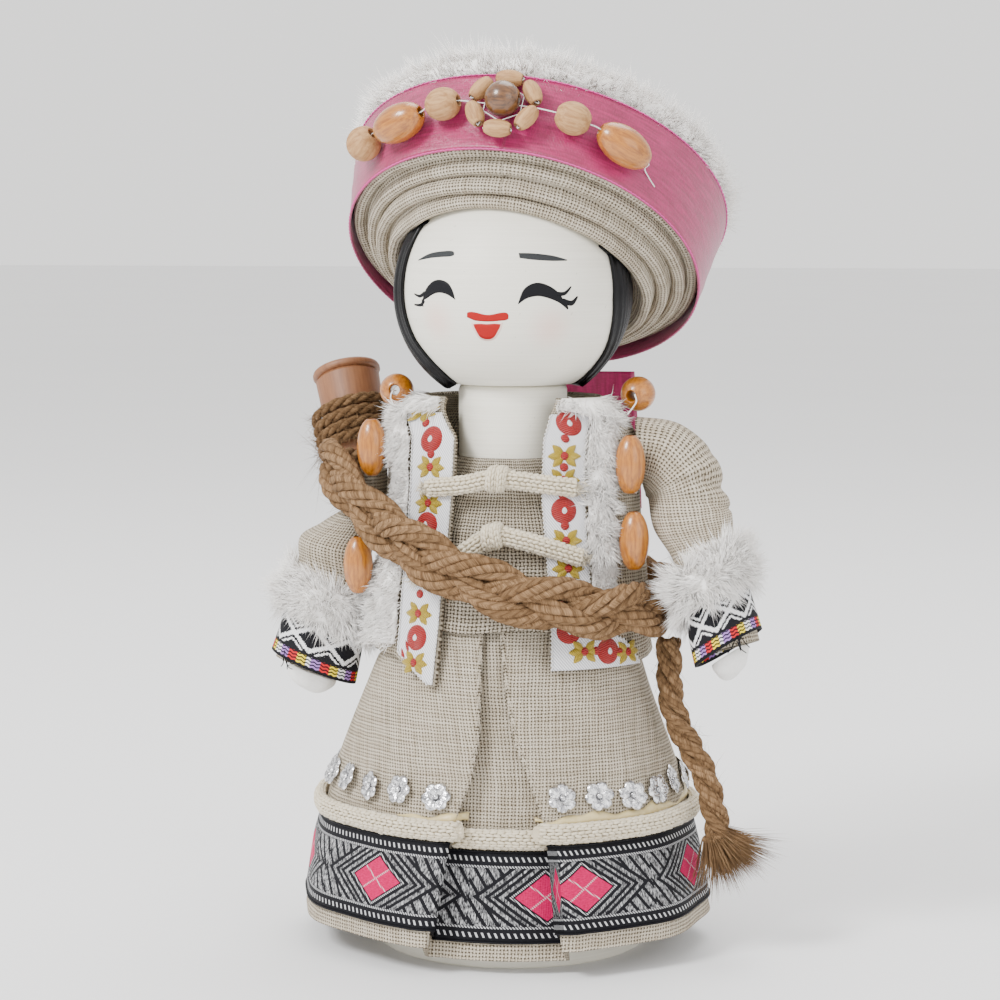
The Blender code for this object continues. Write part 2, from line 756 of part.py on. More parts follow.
def sash_cover(angle, height):
    """1 where the sash presses on the vest's front, 0 well away from it."""
    spot = garment_point(VEST_PROFILE, angle, height)
    away = min(np.linalg.norm(spot - p) for p in SASH_LINE)
    return min(1.0, max(0.0, (0.0205 - away) / 0.005))


def make_vest_fur(name, side, mat):
    """A strip of fur beside the front ribbon, pressed flat under the sash."""
    rings = []
    widths = VEST_FUR_LEFT if side < 0 else VEST_FUR_RIGHT
    ribbon = LEFT_RIBBON_WIDTH if side < 0 else RIGHT_RIBBON_WIDTH
    low, high = widths[0][0], widths[-1][0]
    steps = 12
    for i in range(steps + 1):
        height = low + (high - low) * i / steps
        left, right = blend_table(VEST_OPENING, height)
        first = (right if side > 0 else -left) + angle_step(height, ribbon + 2 * GAP) + 0.8
        last = first + angle_step(height, blend_table(widths, height)[0])
        middle = side * (first + last) / 2
        thick = VEST_FUR_THICKNESS + (FUR_PRESSED - VEST_FUR_THICKNESS) * sash_cover(middle, height)
        taper = 1.0 if 0 < i < steps else 0.6
        ring = []
        for share in (0.0, 0.25, 0.5, 0.75, 1.0):
            place = side * (first + (last - first) * share)
            ring.append(garment_point(VEST_PROFILE, place, height, VEST_FUR_GAP))
        for share, out in ((1.0, 0.45), (0.75, 1.0), (0.5, 1.0), (0.25, 1.0), (0.0, 0.45)):
            place = side * (first + (last - first) * share)
            ring.append(garment_point(VEST_PROFILE, place, height, VEST_FUR_GAP + out * thick * taper))
        rings.append(ring)
    return capped_tube(name, rings, mat)


def make_frog(name, route, knot_at, mat):
    """A flat cotton cord across the front with a knot in the middle."""
    spots = smooth_route(route, 14)
    rings = []
    for i, spot in enumerate(spots):
        ahead = unit(spots[min(i + 1, len(spots) - 1)] - spots[max(i - 1, 0)])
        out = unit((spot[0] * 0.5, spot[1], 0.0))
        up = unit(np.cross(out, ahead))
        out = np.cross(ahead, up)
        near = math.exp(-(((spot[0] - knot_at) / (FROG_KNOT_LENGTH * 0.38)) ** 2))
        half_up = FROG_WIDTH / 2 + (FROG_KNOT_WIDTH - FROG_WIDTH) / 2 * near
        half_out = FROG_THICKNESS / 2 * (1 + 0.55 * near)
        end = 0.7 if i in (0, len(spots) - 1) else 1.0
        rings.append(ellipse_ring(spot, up, out, half_up * end, half_out * end, 6))
    return capped_tube(name, rings, mat)


def make_frogs(mat):
    over = VEST_RIBBON_GAP + RIBBON + GAP + FROG_THICKNESS / 2
    for name, places in (("frog_upper", FROG_UPPER), ("frog_lower", FROG_LOWER)):
        route = [garment_point(VEST_PROFILE, t, h, over) for t, h in places]
        make_frog(name, route, route[len(route) // 2 - (len(route) % 2 == 0)][0], mat)


# Skirt trimming


def make_skirt_ribbon(mat):
    heights = [SKIRT_RIBBON_BOTTOM, SKIRT_RIBBON_TOP]
    return skirt_band("skirt_ribbon", heights, GAP, GAP + RIBBON, mat)


def make_skirt_cord(mat):
    """A rounded cord: five lines round the skirt, from its lower back edge over its front."""
    low = SKIRT_RIBBON_TOP + 2 * GAP
    lines = [
        skirt_line(low + SKIRT_CORD_WIDTH * up, GAP + SKIRT_CORD_THICKNESS * out)
        for up, out in ((0.08, 0.0), (0.0, 0.55), (0.5, 1.0), (1.0, 0.55), (0.92, 0.0))
    ]
    rings = [[line[i] for line in lines] for i in range(len(lines[0]))]
    return capped_tube("skirt_cord", rings, mat, closed=True)


def make_sequins(mat):
    """A chain of flat flowers from one edge of the pleat round the back to the other."""
    left, right = blend_table(PLEAT_EDGES, SEQUIN_HEIGHT)
    start = right + 3.0
    pitch = (left + 360 - 3.0 - start) / SEQUINS
    rings = []
    for i in range(SEQUINS):
        for share in (0.04, 0.34, 0.66):
            angle = turn_of(start + pitch * (i + share))
            tall = SEQUIN_RADIUS * (0.34 if share == 0.04 else 0.96)
            rings.append(
                [
                    skirt_point(angle, SEQUIN_HEIGHT - tall, GAP),
                    skirt_point(angle, SEQUIN_HEIGHT + tall, GAP),
                    skirt_point(angle, SEQUIN_HEIGHT + tall, GAP + 0.0008),
                    skirt_point(angle, SEQUIN_HEIGHT - tall, GAP + 0.0008),
                ]
            )
    return capped_tube("sequin_trim", rings, mat)


# Sash, tail and cup

SASH_ROUTE = (
    (-0.0345, -0.0262, 0.1285),
    (-0.0203, -0.0353, 0.1210),
    (-0.0065, -0.0388, 0.1150),
    (0.0060, -0.0400, 0.1108),
    (0.0180, -0.0388, 0.1078),
    (0.0305, -0.0338, 0.1055),
    (0.0410, -0.0250, 0.1045),
    (0.0464, -0.0140, 0.1040),
    (0.0490, 0.0000, 0.1040),
    (0.0465, 0.0150, 0.1042),
    (0.0385, 0.0280, 0.1052),
    (0.0240, 0.0370, 0.1078),
    (0.0070, 0.0405, 0.1115),
    (-0.0110, 0.0390, 0.1160),
    (-0.0270, 0.0335, 0.1215),
    (-0.0400, 0.0250, 0.1275),
    (-0.0485, 0.0150, 0.1340),
    (-0.0535, 0.0050, 0.1405),
    (-0.0548, -0.0040, 0.1435),
    (-0.0520, -0.0115, 0.1415),
    (-0.0450, -0.0185, 0.1360),
)
SASH_LINE = smooth_route(SASH_ROUTE, SASH_STATIONS, closed=True)


def make_sash(mat):
    """A flat three-strand braid in a loop: each section is the outline of three round strands."""
    half_wide = SASH_WIDTH / 2 - SASH_STRAND_RADIUS
    half_thick = SASH_THICKNESS / 2 - SASH_STRAND_RADIUS
    sides = 9
    count = len(SASH_LINE)
    rings = []
    for i, centre in enumerate(SASH_LINE):
        ahead = unit(SASH_LINE[(i + 1) % count] - SASH_LINE[i - 1])
        out = unit((centre[0], centre[1], 0.0))
        up = unit(np.cross(out, ahead))
        out = np.cross(ahead, up)
        phase = 2 * math.pi * SASH_TURNS * i / count / 3
        strands = []
        for k in range(3):
            t = phase + 2 * math.pi * k / 3
            strands.append((half_wide * math.sin(t), half_thick * math.sin(2 * t)))
        ring = []
        for j in range(sides):
            t = 2 * math.pi * j / sides
            reach = max(ray_through(math.cos(t), math.sin(t), s, SASH_STRAND_RADIUS) for s in strands)
            reach = max(reach, SASH_THICKNESS * 0.36)
            ring.append(centre + up * reach * math.cos(t) + out * reach * math.sin(t))
        rings.append(ring)
    return capped_tube("braid_sash", rings, mat, closed=True)


def ray_through(x, y, strand, radius):
    """How far a ray from the middle reaches to the far side of a round strand, 0 if it misses."""
    along = x * strand[0] + y * strand[1]
    aside = x * strand[1] - y * strand[0]
    if abs(aside) >= radius:
        return 0.0
    return max(0.0, along + math.sqrt(radius**2 - aside**2))


TAIL_ROUTE = (
    (0.0492, -0.0080, 0.0938),
    (0.0495, -0.0090, 0.0850),
    (0.0502, -0.0096, 0.0765),
    (0.0525, -0.0100, 0.0690),
    (0.0562, -0.0100, 0.0620),
    (0.0600, -0.0098, 0.0550),
    (0.0622, -0.0096, 0.0480),
    (0.0640, -0.0094, 0.0400),
    (0.0652, -0.0092, 0.0330),
)


def make_tail(mat):
    """The loose end of the sash, a round rope."""
    spots = smooth_route(TAIL_ROUTE, 12)
    line = bpy.data.curves.new("sash_tail", "CURVE")
    line.dimensions = "3D"
    spline = line.splines.new("POLY")
    spline.points.add(len(spots) - 1)
    for point, spot in zip(spline.points, spots):
        point.co = (*spot, 1.0)
    line.bevel_depth = TAIL_ROPE_DIAMETER / 2
    line.bevel_resolution = 2
    line.use_fill_caps = True
    line.materials.append(mat)
    made = bpy.data.objects.new("sash_tail", line)
    bpy.context.scene.collection.objects.link(made)
    return made


def tub_matrix():
    axis = Vector(
        (-math.tan(math.radians(TUB_LEAN_LEFT)), math.tan(math.radians(TUB_LEAN_BACK)), 1.0)
    ).normalized()
    return Vector((0, 0, 1)).rotation_difference(axis).to_matrix()


def tub_radius(height):
    """Outside radius of the cup's body at a height on its own axis."""
    body = TUB_RIM_RADIUS - 0.0005
    return TUB_FOOT_RADIUS + (body - TUB_FOOT_RADIUS) * height / TUB_HEIGHT


def make_tub(mat):
    lip = TUB_HEIGHT - TUB_RIM_HEIGHT
    profile = (
        (0, 0),
        (TUB_FOOT_RADIUS - 0.0006, 0),
        (TUB_FOOT_RADIUS, 0.0006),
        (tub_radius(lip - 0.0008), lip - 0.0008),
        (tub_radius(lip) - 0.0006, lip),
        (TUB_RIM_RADIUS, lip + 0.0006),
        (TUB_RIM_RADIUS, TUB_HEIGHT - 0.0006),
        (TUB_RIM_RADIUS - 0.0006, TUB_HEIGHT),
        (TUB_RIM_RADIUS - TUB_WALL, TUB_HEIGHT),
        (TUB_FOOT_RADIUS - TUB_WALL, TUB_WALL * 1.5),
        (0, TUB_WALL * 1.5),
    )
    return turned("tub", profile, mat, 18, TUB_PLACE, tub_matrix())


def make_twine(mat):
    """Two turns of twine round the cup, as a helix on its tapered body."""
    spots = []
    steps = 48
    turn = tub_matrix()
    for i in range(steps + 1):
        t = 2 * math.pi * TWINE_TURNS * i / steps
        height = TWINE_START + (TWINE_DIAMETER + GAP) * t / (2 * math.pi)
        radius = tub_radius(height) + 2 * GAP + TWINE_DIAMETER / 2
        spots.append(
            np.array(Vector(TUB_PLACE) + turn @ Vector((radius * math.cos(t), radius * math.sin(t), height)))
        )
    axis = np.array(turn @ Vector((0, 0, 1)))
    rings = []
    for i, spot in enumerate(spots):
        ahead = unit(spots[min(i + 1, steps)] - spots[max(i - 1, 0)])
        out = unit(np.cross(ahead, axis))
        up = np.cross(out, ahead)
        rings.append(ellipse_ring(spot, out, up, TWINE_DIAMETER / 2, TWINE_DIAMETER / 2, 5))
    return capped_tube("tub_twine", rings, mat)


# Arms: each has its rings from the shoulder to the start of the straight end, as (place, half width,
# half depth, turn of the ring from level, in degrees), then the wrist's place, the forearm's direction,
# the sleeve end's half width and half depth, and the slant of the cuff's edges along the arm

ARM_LEFT = {
    "rings": (
        ((-0.0430, 0.0000, 0.1535), 0.0030, 0.0070, 0),
        ((-0.0436, 0.0000, 0.1470), 0.0036, 0.0082, 0),
        ((-0.0434, -0.0015, 0.1345), 0.0041, 0.0082, 0),
        ((-0.0498, -0.0025, 0.1252), 0.0090, 0.0094, 6),
        ((-0.0545, -0.0035, 0.1190), 0.0114, 0.0097, 13),
    ),
    "wrist": (-0.0614, -0.0055, 0.0817),
    "direction": (-0.24, -0.08, -0.967),
    "end": (0.0120, 0.0094),
    "slant": -0.17,
}
ARM_RIGHT = {
    "rings": (
        ((0.0396, -0.0010, 0.1478), 0.0117, 0.0080, 98),
        ((0.0459, -0.0020, 0.1467), 0.0119, 0.0100, 66),
        ((0.0514, -0.0032, 0.1421), 0.0120, 0.0106, 34),
        ((0.0538, -0.0045, 0.1358), 0.0119, 0.0106, 4),
        ((0.0562, -0.0095, 0.1290), 0.0117, 0.0106, 9),
    ),
    "wrist": (0.0684, -0.0185, 0.0936),
    "direction": (0.28, -0.15, -0.948),
    "end": (0.0093, 0.0100),
    "slant": 0.27,
}
FOREARM_LENGTH = 0.0290


def arm_frame(arm):
    """A matrix with the forearm's direction as Z, and its cross-section and cuff's slant in X and Y."""
    ahead = Vector(arm["direction"]).normalized()
    across = Vector((0, 1, 0)).cross(ahead).normalized()
    fore = ahead.cross(across)
    axes = Matrix((across, fore, ahead)).transposed()
    wide, deep = arm["end"]
    shape = Matrix(((wide / deep, 0, 0), (0, 1, 0), (arm["slant"], 0, 1)))
    return axes @ shape


def make_sleeve(name, arm, mat):
    axis = unit(arm["direction"])
    rings = []
    for place, wide, deep, turn in arm["rings"]:
        side = 1 if place[0] > 0 else -1
        lean = math.radians(turn)
        across = np.array((side * math.cos(lean), 0.0, math.sin(lean)))
        rings.append(ellipse_ring(place, -side * across, (0, 1, 0), wide, deep, 12))
    across = unit(np.cross((0, 1.0, 0), axis))
    fore = np.cross(axis, across)
    for share in (1.0, 0.66, 0.33, 0.0):
        place = np.array(arm["wrist"]) - axis * FOREARM_LENGTH * share
        rings.append(ellipse_ring(place, across, fore, *arm["end"], 12))
    return capped_tube(name, rings, mat)


def arm_ring(name, arm, start, length, thickness, bulge, mat):
    """A ring round the sleeve's end, measured back from the wrist."""
    inner = arm["end"][1] + GAP
    outer = inner + thickness
    profile = [(inner, -start - length), (inner, -start), (outer - bulge, -start)]
    if bulge:
        profile += [(outer, -start - length * 0.25), (outer, -start - length * 0.75)]
    profile.append((outer - bulge, -start - length))
    return turned(name, profile[::-1], mat, 16, arm["wrist"], arm_frame(arm), ring=True)


def make_hand(name, arm, mat):
    """The rounded white end of the arm below the cuff."""
    start = abs(arm["slant"]) * arm["end"][1] + 2 * GAP
    profile = [(0, start), (HAND_RADIUS, start)]
    for i in range(5):
        t = math.pi / 2 * i / 5
        profile.append((HAND_RADIUS * math.cos(t), start + 0.0006 + HAND_RADIUS * math.sin(t)))
    profile.append((0, start + 0.0006 + HAND_RADIUS))
    return turned(name, profile, mat, 12, arm["wrist"], arm_frame(arm))


def make_arms(linen, fur, band, hand):
    for side, arm in (("left", ARM_LEFT), ("right", ARM_RIGHT)):
        make_sleeve(f"sleeve_{side}", arm, linen)
        arm_ring(f"cuff_band_{side}", arm, 0.0, CUFF_BAND_WIDTH, CUFF_BAND_THICKNESS, 0.0, band)
        fur_start = CUFF_BAND_WIDTH + GAP
        arm_ring(f"cuff_fur_{side}", arm, fur_start, CUFF_FUR_LENGTH, CUFF_FUR_THICKNESS, 0.0016, fur)
        make_hand(f"hand_{side}", arm, hand)


def build():
    for old in list(bpy.data.objects):
        bpy.data.objects.remove(old, do_unlink=True)
    linen = material("linen", (0.56, 0.51, 0.44), 0.95)
    pleat_linen = material("skirt linen", (0.52, 0.47, 0.40), 0.95)
    ivory = material("ivory paint", (0.80, 0.77, 0.66), 0.55)
    black = material("black hair", (0.01, 0.01, 0.012), 0.35)
    pink = material("pink satin", (0.75, 0.05, 0.32), 0.35)
    fur = material("white fur", (0.85, 0.85, 0.86), 0.95)
    amber = material("amber wood", (0.50, 0.19, 0.03), 0.25)
    pale = material("pale wood", (0.60, 0.40, 0.22), 0.7)
    brown = material("brown wood", (0.24, 0.12, 0.04), 0.35)
    trim = material("white ribbon", (0.72, 0.72, 0.74), 0.4)
    cotton = material("cotton cord", (0.78, 0.72, 0.60), 0.9)
    jacquard = material("woven ribbon", (0.03, 0.03, 0.035), 0.5)
    silver = material("silver sequins", (0.75, 0.75, 0.76), 0.2, 0.9)
    jute = material("jute", (0.33, 0.19, 0.09), 0.95)
    turned_wood = material("turned wood", (0.38, 0.19, 0.10), 0.55)
    make_body(ivory)
    make_head(ivory)
    make_hair(black)
    make_hat_roll(linen)
    make_hat_ribbon(pink)
    make_hat_tail(pink)
    make_hat_fur(fur)
    make_hat_beads(amber, pale, brown)
    make_bodice(linen)
    make_skirt(pleat_linen)
    make_skirt_ribbon(jacquard)
    make_skirt_cord(cotton)
    make_sequins(silver)
    make_vest(linen)
    make_vest_ribbons(trim)
    make_vest_fur("vest_fur_left", -1, fur)
    make_vest_fur("vest_fur_right", 1, fur)
    make_vest_beads(amber)
    make_frogs(cotton)
    make_arms(linen, fur, jacquard, cotton)
    make_tub(turned_wood)
    make_twine(jute)
    make_sash(jute)
    make_tail(jute)


build()
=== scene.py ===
"""Looks of a costume doll of turned wood in folk dress.

Metres, +Z up. The doll faces -Y. Angles round the doll and round the hat are in degrees,
0 in front and rising towards +X. Coordinates on cloth, wood and cords are in millimetres,
kept in each mesh's "cloth" attribute, and each point's lightness in its "tone" attribute.
"""

import math

import bpy
import numpy as np
from mathutils import Matrix


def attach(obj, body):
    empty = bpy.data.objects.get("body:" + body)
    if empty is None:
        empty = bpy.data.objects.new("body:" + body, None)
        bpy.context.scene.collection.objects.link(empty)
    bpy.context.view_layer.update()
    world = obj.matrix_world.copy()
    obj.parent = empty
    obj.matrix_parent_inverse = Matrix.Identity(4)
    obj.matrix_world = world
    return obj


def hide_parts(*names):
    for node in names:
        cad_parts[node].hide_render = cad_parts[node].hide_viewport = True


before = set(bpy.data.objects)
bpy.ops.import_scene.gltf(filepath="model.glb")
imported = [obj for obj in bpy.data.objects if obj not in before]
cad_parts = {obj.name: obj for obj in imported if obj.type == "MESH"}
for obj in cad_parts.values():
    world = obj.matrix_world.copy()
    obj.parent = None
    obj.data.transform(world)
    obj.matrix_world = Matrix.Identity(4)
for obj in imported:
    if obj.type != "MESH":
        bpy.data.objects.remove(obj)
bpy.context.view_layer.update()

MM = 1000.0
UP = np.array((0.0, 0.0, 1.0))

# Camera: its place, the height it looks at on the doll's axis, and its lens
CAMERA_AZIMUTH = 12.5
CAMERA_DISTANCE = 0.81
CAMERA_HEIGHT = 0.217
AIM_HEIGHT = 0.1335
AIM_SIDE = -0.0039
SENSOR = 36.0
LENS = SENSOR * 2.698

# Sizes shared with the solids
NECK_TOP = 0.1687
HEAD_UNDERSIDE = 0.1690
HEAD_RADIUS = 0.0335
HEAD_CENTRE = np.array((0.0, 0.0, 0.1967))
HAT_CENTRE = np.array((0.0007, 0.0129, 0.2067))
HAT_TILT = 34.6
HAT_ROLL_ANGLE = 5.7
HAT_RADIUS = 0.0533
HAT_HEIGHT = 0.0240
HAT_FLARE = 0.0036
HAT_LAYERS = 4
HAT_LAYER_WIDTH = 0.0042
HAT_LAYER_DROP = 0.0033
HAT_RIBBON_DROP = 0.0045
RIBBON = 0.0005
GAP = 0.0003

ROUND_BEAD = (0.0096, 0.0104, 0.0030)
OVAL_BEAD = (0.0168, 0.0110, 0.0026)
BARREL_BEAD = (0.0100, 0.0096, 0.0026)
PETAL_BEAD = (0.0078, 0.0052, 0.0016)
VEST_BEAD = (0.0168, 0.0088, 0.0020)

VEST_PROFILE = np.array(
    (
        (0.0820, 0.0432, 0.0368), (0.1000, 0.0412, 0.0322), (0.1200, 0.0400, 0.0280),
        (0.1400, 0.0385, 0.0245), (0.1540, 0.0375, 0.0220), (0.1610, 0.0337, 0.0205),
        (0.1655, 0.0262, 0.0190),
    )
)
BODICE_PROFILE = np.array(
    (
        (0.0975, 0.0385, 0.0303), (0.1100, 0.0375, 0.0282), (0.1250, 0.0340, 0.0250),
        (0.1380, 0.0260, 0.0205), (0.1475, 0.0172, 0.0172),
    )
)
SKIRT_PROFILE = np.array(
    (
        (0.0088, 0.0603, 0.0553), (0.0300, 0.0562, 0.0503), (0.0530, 0.0505, 0.0440),
        (0.0850, 0.0400, 0.0335), (0.1000, 0.0345, 0.0282),
    )
)
SKIRT_LEFT_WIDTHS = np.array(
    ((0.0088, 0.0655), (0.0300, 0.0618), (0.0530, 0.0548), (0.0850, 0.0420), (0.1000, 0.0345))
)
VEST_BOTTOM = 0.0890
VEST_TOP = 0.1655
VEST_OPENING = np.array(
    (
        (0.0800, -21.5, 27.0), (0.1080, -21.0, 24.5), (0.1250, -19.5, 22.0), (0.1380, -19.0, 20.5),
        (0.1540, -19.5, 21.2), (0.1610, -30.0, 26.5), (0.1655, -41.0, 38.5),
    )
)
LEFT_RIBBON_WIDTH = 0.0143
RIGHT_RIBBON_WIDTH = 0.0120
VEST_FUR_LEFT = np.array(
    (
        (0.0925, 0.0225), (0.1100, 0.0190), (0.1250, 0.0125), (0.1380, 0.0090), (0.1590, 0.0095),
        (0.1655, 0.0120),
    )
)
VEST_FUR_RIGHT = np.array(((0.1000, 0.0085), (0.1540, 0.0090), (0.1655, 0.0125)))
VEST_RIBBON_LIFT = 0.0013
FLOWER_SIZE = 0.0082
LEAF_SIZE = 0.0040

PLEAT_EDGES = np.array(
    (
        (0.0088, -10.7, 24.2), (0.0385, -8.5, 22.5), (0.0560, -1.8, 15.5), (0.0680, -0.3, 10.0),
        (0.0820, -1.3, 6.2), (0.1000, -3.0, 2.5),
    )
)
PLEAT_DEPTH_BOTTOM = 0.0075
PLEAT_DEPTH_TOP = 0.0016
PLEAT_WALL_ANGLE = 2.0
PLEAT_UNDERCUT = 3.5
PLEAT_DROP = 0.0045
SKIRT_FOLDS = 9
SKIRT_FOLD_DEPTH = 0.0008
SKIRT_RIBBON_BOTTOM = 0.0137
SKIRT_RIBBON_TOP = 0.0385
SKIRT_CORD_WIDTH = 0.0056
DIAMOND_REPEAT = 46.0
DIAMOND_WIDE = 9.8
DIAMOND_TALL = 6.9
SEQUIN_RADIUS = 0.0046
SEQUIN_HEIGHT = 0.0512
SEQUINS = 25

TUB_PLACE = np.array((-0.0545, 0.0265, 0.1425))
TUB_LEAN_LEFT = 17
TUB_LEAN_BACK = 22
TUB_HEIGHT = 0.0310
TUB_RIM_RADIUS = 0.0108
TUB_FOOT_RADIUS = 0.0092
TUB_WALL = 0.0020
TUB_RIM_HEIGHT = 0.0026
TWINE_DIAMETER = 0.0034
TWINE_TURNS = 4.3
TWINE_START = 0.0020

CUFF_FUR_LENGTH = 0.0130
CUFF_BAND_WIDTH = 0.0140
HAND_RADIUS = 0.0062
CUFF_REPEAT = 10.2

TAIL_ROUTE = (
    (0.0492, -0.0080, 0.0938), (0.0495, -0.0090, 0.0850), (0.0502, -0.0096, 0.0765),
    (0.0525, -0.0100, 0.0690), (0.0562, -0.0100, 0.0620), (0.0600, -0.0098, 0.0550),
    (0.0622, -0.0096, 0.0480), (0.0640, -0.0094, 0.0400), (0.0652, -0.0092, 0.0330),
)

SASH_ROUTE = (
    (-0.0345, -0.0262, 0.1285), (-0.0203, -0.0353, 0.1210), (-0.0065, -0.0388, 0.1150),
    (0.0060, -0.0400, 0.1108), (0.0180, -0.0388, 0.1078), (0.0305, -0.0338, 0.1055),
    (0.0410, -0.0250, 0.1045), (0.0464, -0.0140, 0.1040), (0.0490, 0.0000, 0.1040), (0.0465, 0.0150, 0.1042),
    (0.0385, 0.0280, 0.1052), (0.0240, 0.0370, 0.1078), (0.0070, 0.0405, 0.1115), (-0.0110, 0.0390, 0.1160),
    (-0.0270, 0.0335, 0.1215), (-0.0400, 0.0250, 0.1275), (-0.0485, 0.0150, 0.1340),
    (-0.0535, 0.0050, 0.1405), (-0.0548, -0.0040, 0.1435), (-0.0520, -0.0115, 0.1415),
    (-0.0450, -0.0185, 0.1360),
)
SASH_WIDTH = 0.0170
SASH_THICKNESS = 0.0108
SASH_STRAND_RADIUS = 0.0036
SASH_TURNS = 13

ARMS = {
    "left": {
        "rings": (
            ((-0.0430, 0.0000, 0.1535), 0.0030, 0.0070, 0), ((-0.0436, 0.0000, 0.1470), 0.0036, 0.0082, 0),
            ((-0.0434, -0.0015, 0.1345), 0.0041, 0.0082, 0), ((-0.0498, -0.0025, 0.1252), 0.0090, 0.0094, 6),
            ((-0.0545, -0.0035, 0.1190), 0.0114, 0.0097, 13),
        ),
        "wrist": (-0.0614, -0.0055, 0.0817),
        "direction": (-0.24, -0.08, -0.967),
        "end": (0.0120, 0.0094),
        "slant": -0.17,
    },
    "right": {
        "rings": (
            ((0.0396, -0.0010, 0.1478), 0.0117, 0.0080, 98), ((0.0459, -0.0020, 0.1467), 0.0119, 0.0100, 66),
            ((0.0514, -0.0032, 0.1421), 0.0120, 0.0106, 34), ((0.0538, -0.0045, 0.1358), 0.0119, 0.0106, 4),
            ((0.0562, -0.0095, 0.1290), 0.0117, 0.0106, 9),
        ),
        "wrist": (0.0684, -0.0185, 0.0936),
        "direction": (0.28, -0.15, -0.948),
        "end": (0.0093, 0.0100),
        "slant": 0.27,
    },
}
FOREARM_LENGTH = 0.0290

# Fur: how many blades each piece has, how long they are, and their radius
HAT_FUR_BLADES = 10500
CUFF_FUR_BLADES = 6100
VEST_FUR_BLADES = {-1: 5400, 1: 3700}
HAT_FUR_PILE = 0.0058
CUFF_FUR_PILE = 0.0056
VEST_FUR_PILE = 0.0042
FUR_BLADE_RADIUS = 0.00014

# Knitted stitches that face inwards more than this cosine are left out
INWARD = -0.8


# Numbers and meshes


def unit(v):
    v = np.asarray(v, float)
    return v / np.maximum(np.linalg.norm(v, axis=-1, keepdims=True), 1e-12)


def table_at(table, value):
    """The columns of a table, interpolated at values of its first column."""
    return [np.interp(value, table[:, 0], table[:, k]) for k in range(1, table.shape[1])]


def smooth_step(x):
    x = np.clip(x, 0.0, 1.0)
    return x * x * (3 - 2 * x)


def smooth_route(points, steps, closed=False):
    """Points read from a smooth curve (Catmull-Rom) through the given points."""
    p = np.array(points, float)
    count = len(p)
    spans = count if closed else count - 1
    at = np.arange(steps if closed else steps + 1) * spans / steps
    k = np.minimum(at.astype(int), spans - 1)
    f = (at - k).reshape((-1,) + (1,) * (p.ndim - 1))
    near = [(k + j) % count if closed else np.clip(k + j, 0, count - 1) for j in (-1, 0, 1, 2)]
    a, b, c, d = (p[n] for n in near)
    return 0.5 * (2 * b + (c - a) * f + (2 * a - 5 * b + 4 * c - d) * f**2 + (3 * b - a - 3 * c + d) * f**3)


def even_route(points, count, closed=False):
    """The same smooth curve read at equal distances."""
    fine = smooth_route(points, count * 6, closed)
    if closed:
        fine = np.vstack([fine, fine[:1]])
    run = np.concatenate([[0.0], np.cumsum(np.linalg.norm(np.diff(fine, axis=0), axis=1))])
    at = np.linspace(0, run[-1], count + 1)[: count if closed else count + 1]
    return np.stack([np.interp(at, run, fine[:, k]) for k in range(3)], axis=1), run[-1]


def ripple(seed, *axes, waves=6):
    """Smooth bumps between about -1 and 1 over coordinates whose waves are a few units long."""
    random = np.random.default_rng(seed)
    total = 0.0
    for _ in range(waves):
        ways = random.normal(size=len(axes))
        total = total + np.sin(sum(w * a for w, a in zip(ways, axes)) + random.uniform(0, 2 * math.pi))
    return total / math.sqrt(waves) * 0.8


def grid_quads(rows, columns, wrap_rows=False, wrap_columns=False):
    """The faces of a grid of points, row after row."""
    i = np.arange(rows if wrap_rows else rows - 1)[:, None]
    j = np.arange(columns if wrap_columns else columns - 1)[None, :]
    a = i * columns + j
    b = i * columns + (j + 1) % columns
    c = (i + 1) % rows * columns + (j + 1) % columns
    d = (i + 1) % rows * columns + j
    return np.stack([a, b, c, d], axis=-1).reshape(-1, 4)


class Parts:
    """Meshes gathered into one piece."""

    def __init__(self):
        self.points = []
        self.coords = []
        self.tones = []
        self.faces = []
        self.count = 0

    def add(self, points, faces, coords=None, tone=0.5):
        points = np.asarray(points, float).reshape(-1, 3)
        number = len(points)
        self.points.append(points)
        self.coords.append(
            np.zeros((number, 3)) if coords is None else np.asarray(coords, float).reshape(-1, 3)
        )
        self.tones.append(np.broadcast_to(np.asarray(tone, float), (number,)))
        if isinstance(faces, np.ndarray):
            self.faces += (faces + self.count).tolist()
        else:
            self.faces += [tuple(k + self.count for k in face) for face in faces]
        self.count += number
        return self

    def piece(self, name, mat, slot, *nodes, sharp=None):
        """The gathered meshes as one object of the doll that stands for some solids."""
        mesh = bpy.data.meshes.new(name)
        mesh.from_pydata(np.vstack(self.points).tolist(), [], self.faces)
        cloth = mesh.attributes.new("cloth", "FLOAT_VECTOR", "POINT")
        cloth.data.foreach_set("vector", np.vstack(self.coords).astype(np.float32).ravel())
        tone = mesh.attributes.new("tone", "FLOAT", "POINT")
        tone.data.foreach_set("value", np.concatenate(self.tones).astype(np.float32))
        mesh.materials.append(mat)
        mesh.shade_smooth()
        if sharp:
            mesh.set_sharp_from_angle(angle=math.radians(sharp))
        made = bpy.data.objects.new(name, mesh)
        bpy.context.scene.collection.objects.link(made)
        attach(made, "root")
        if nodes:
            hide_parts(*nodes)
        return made


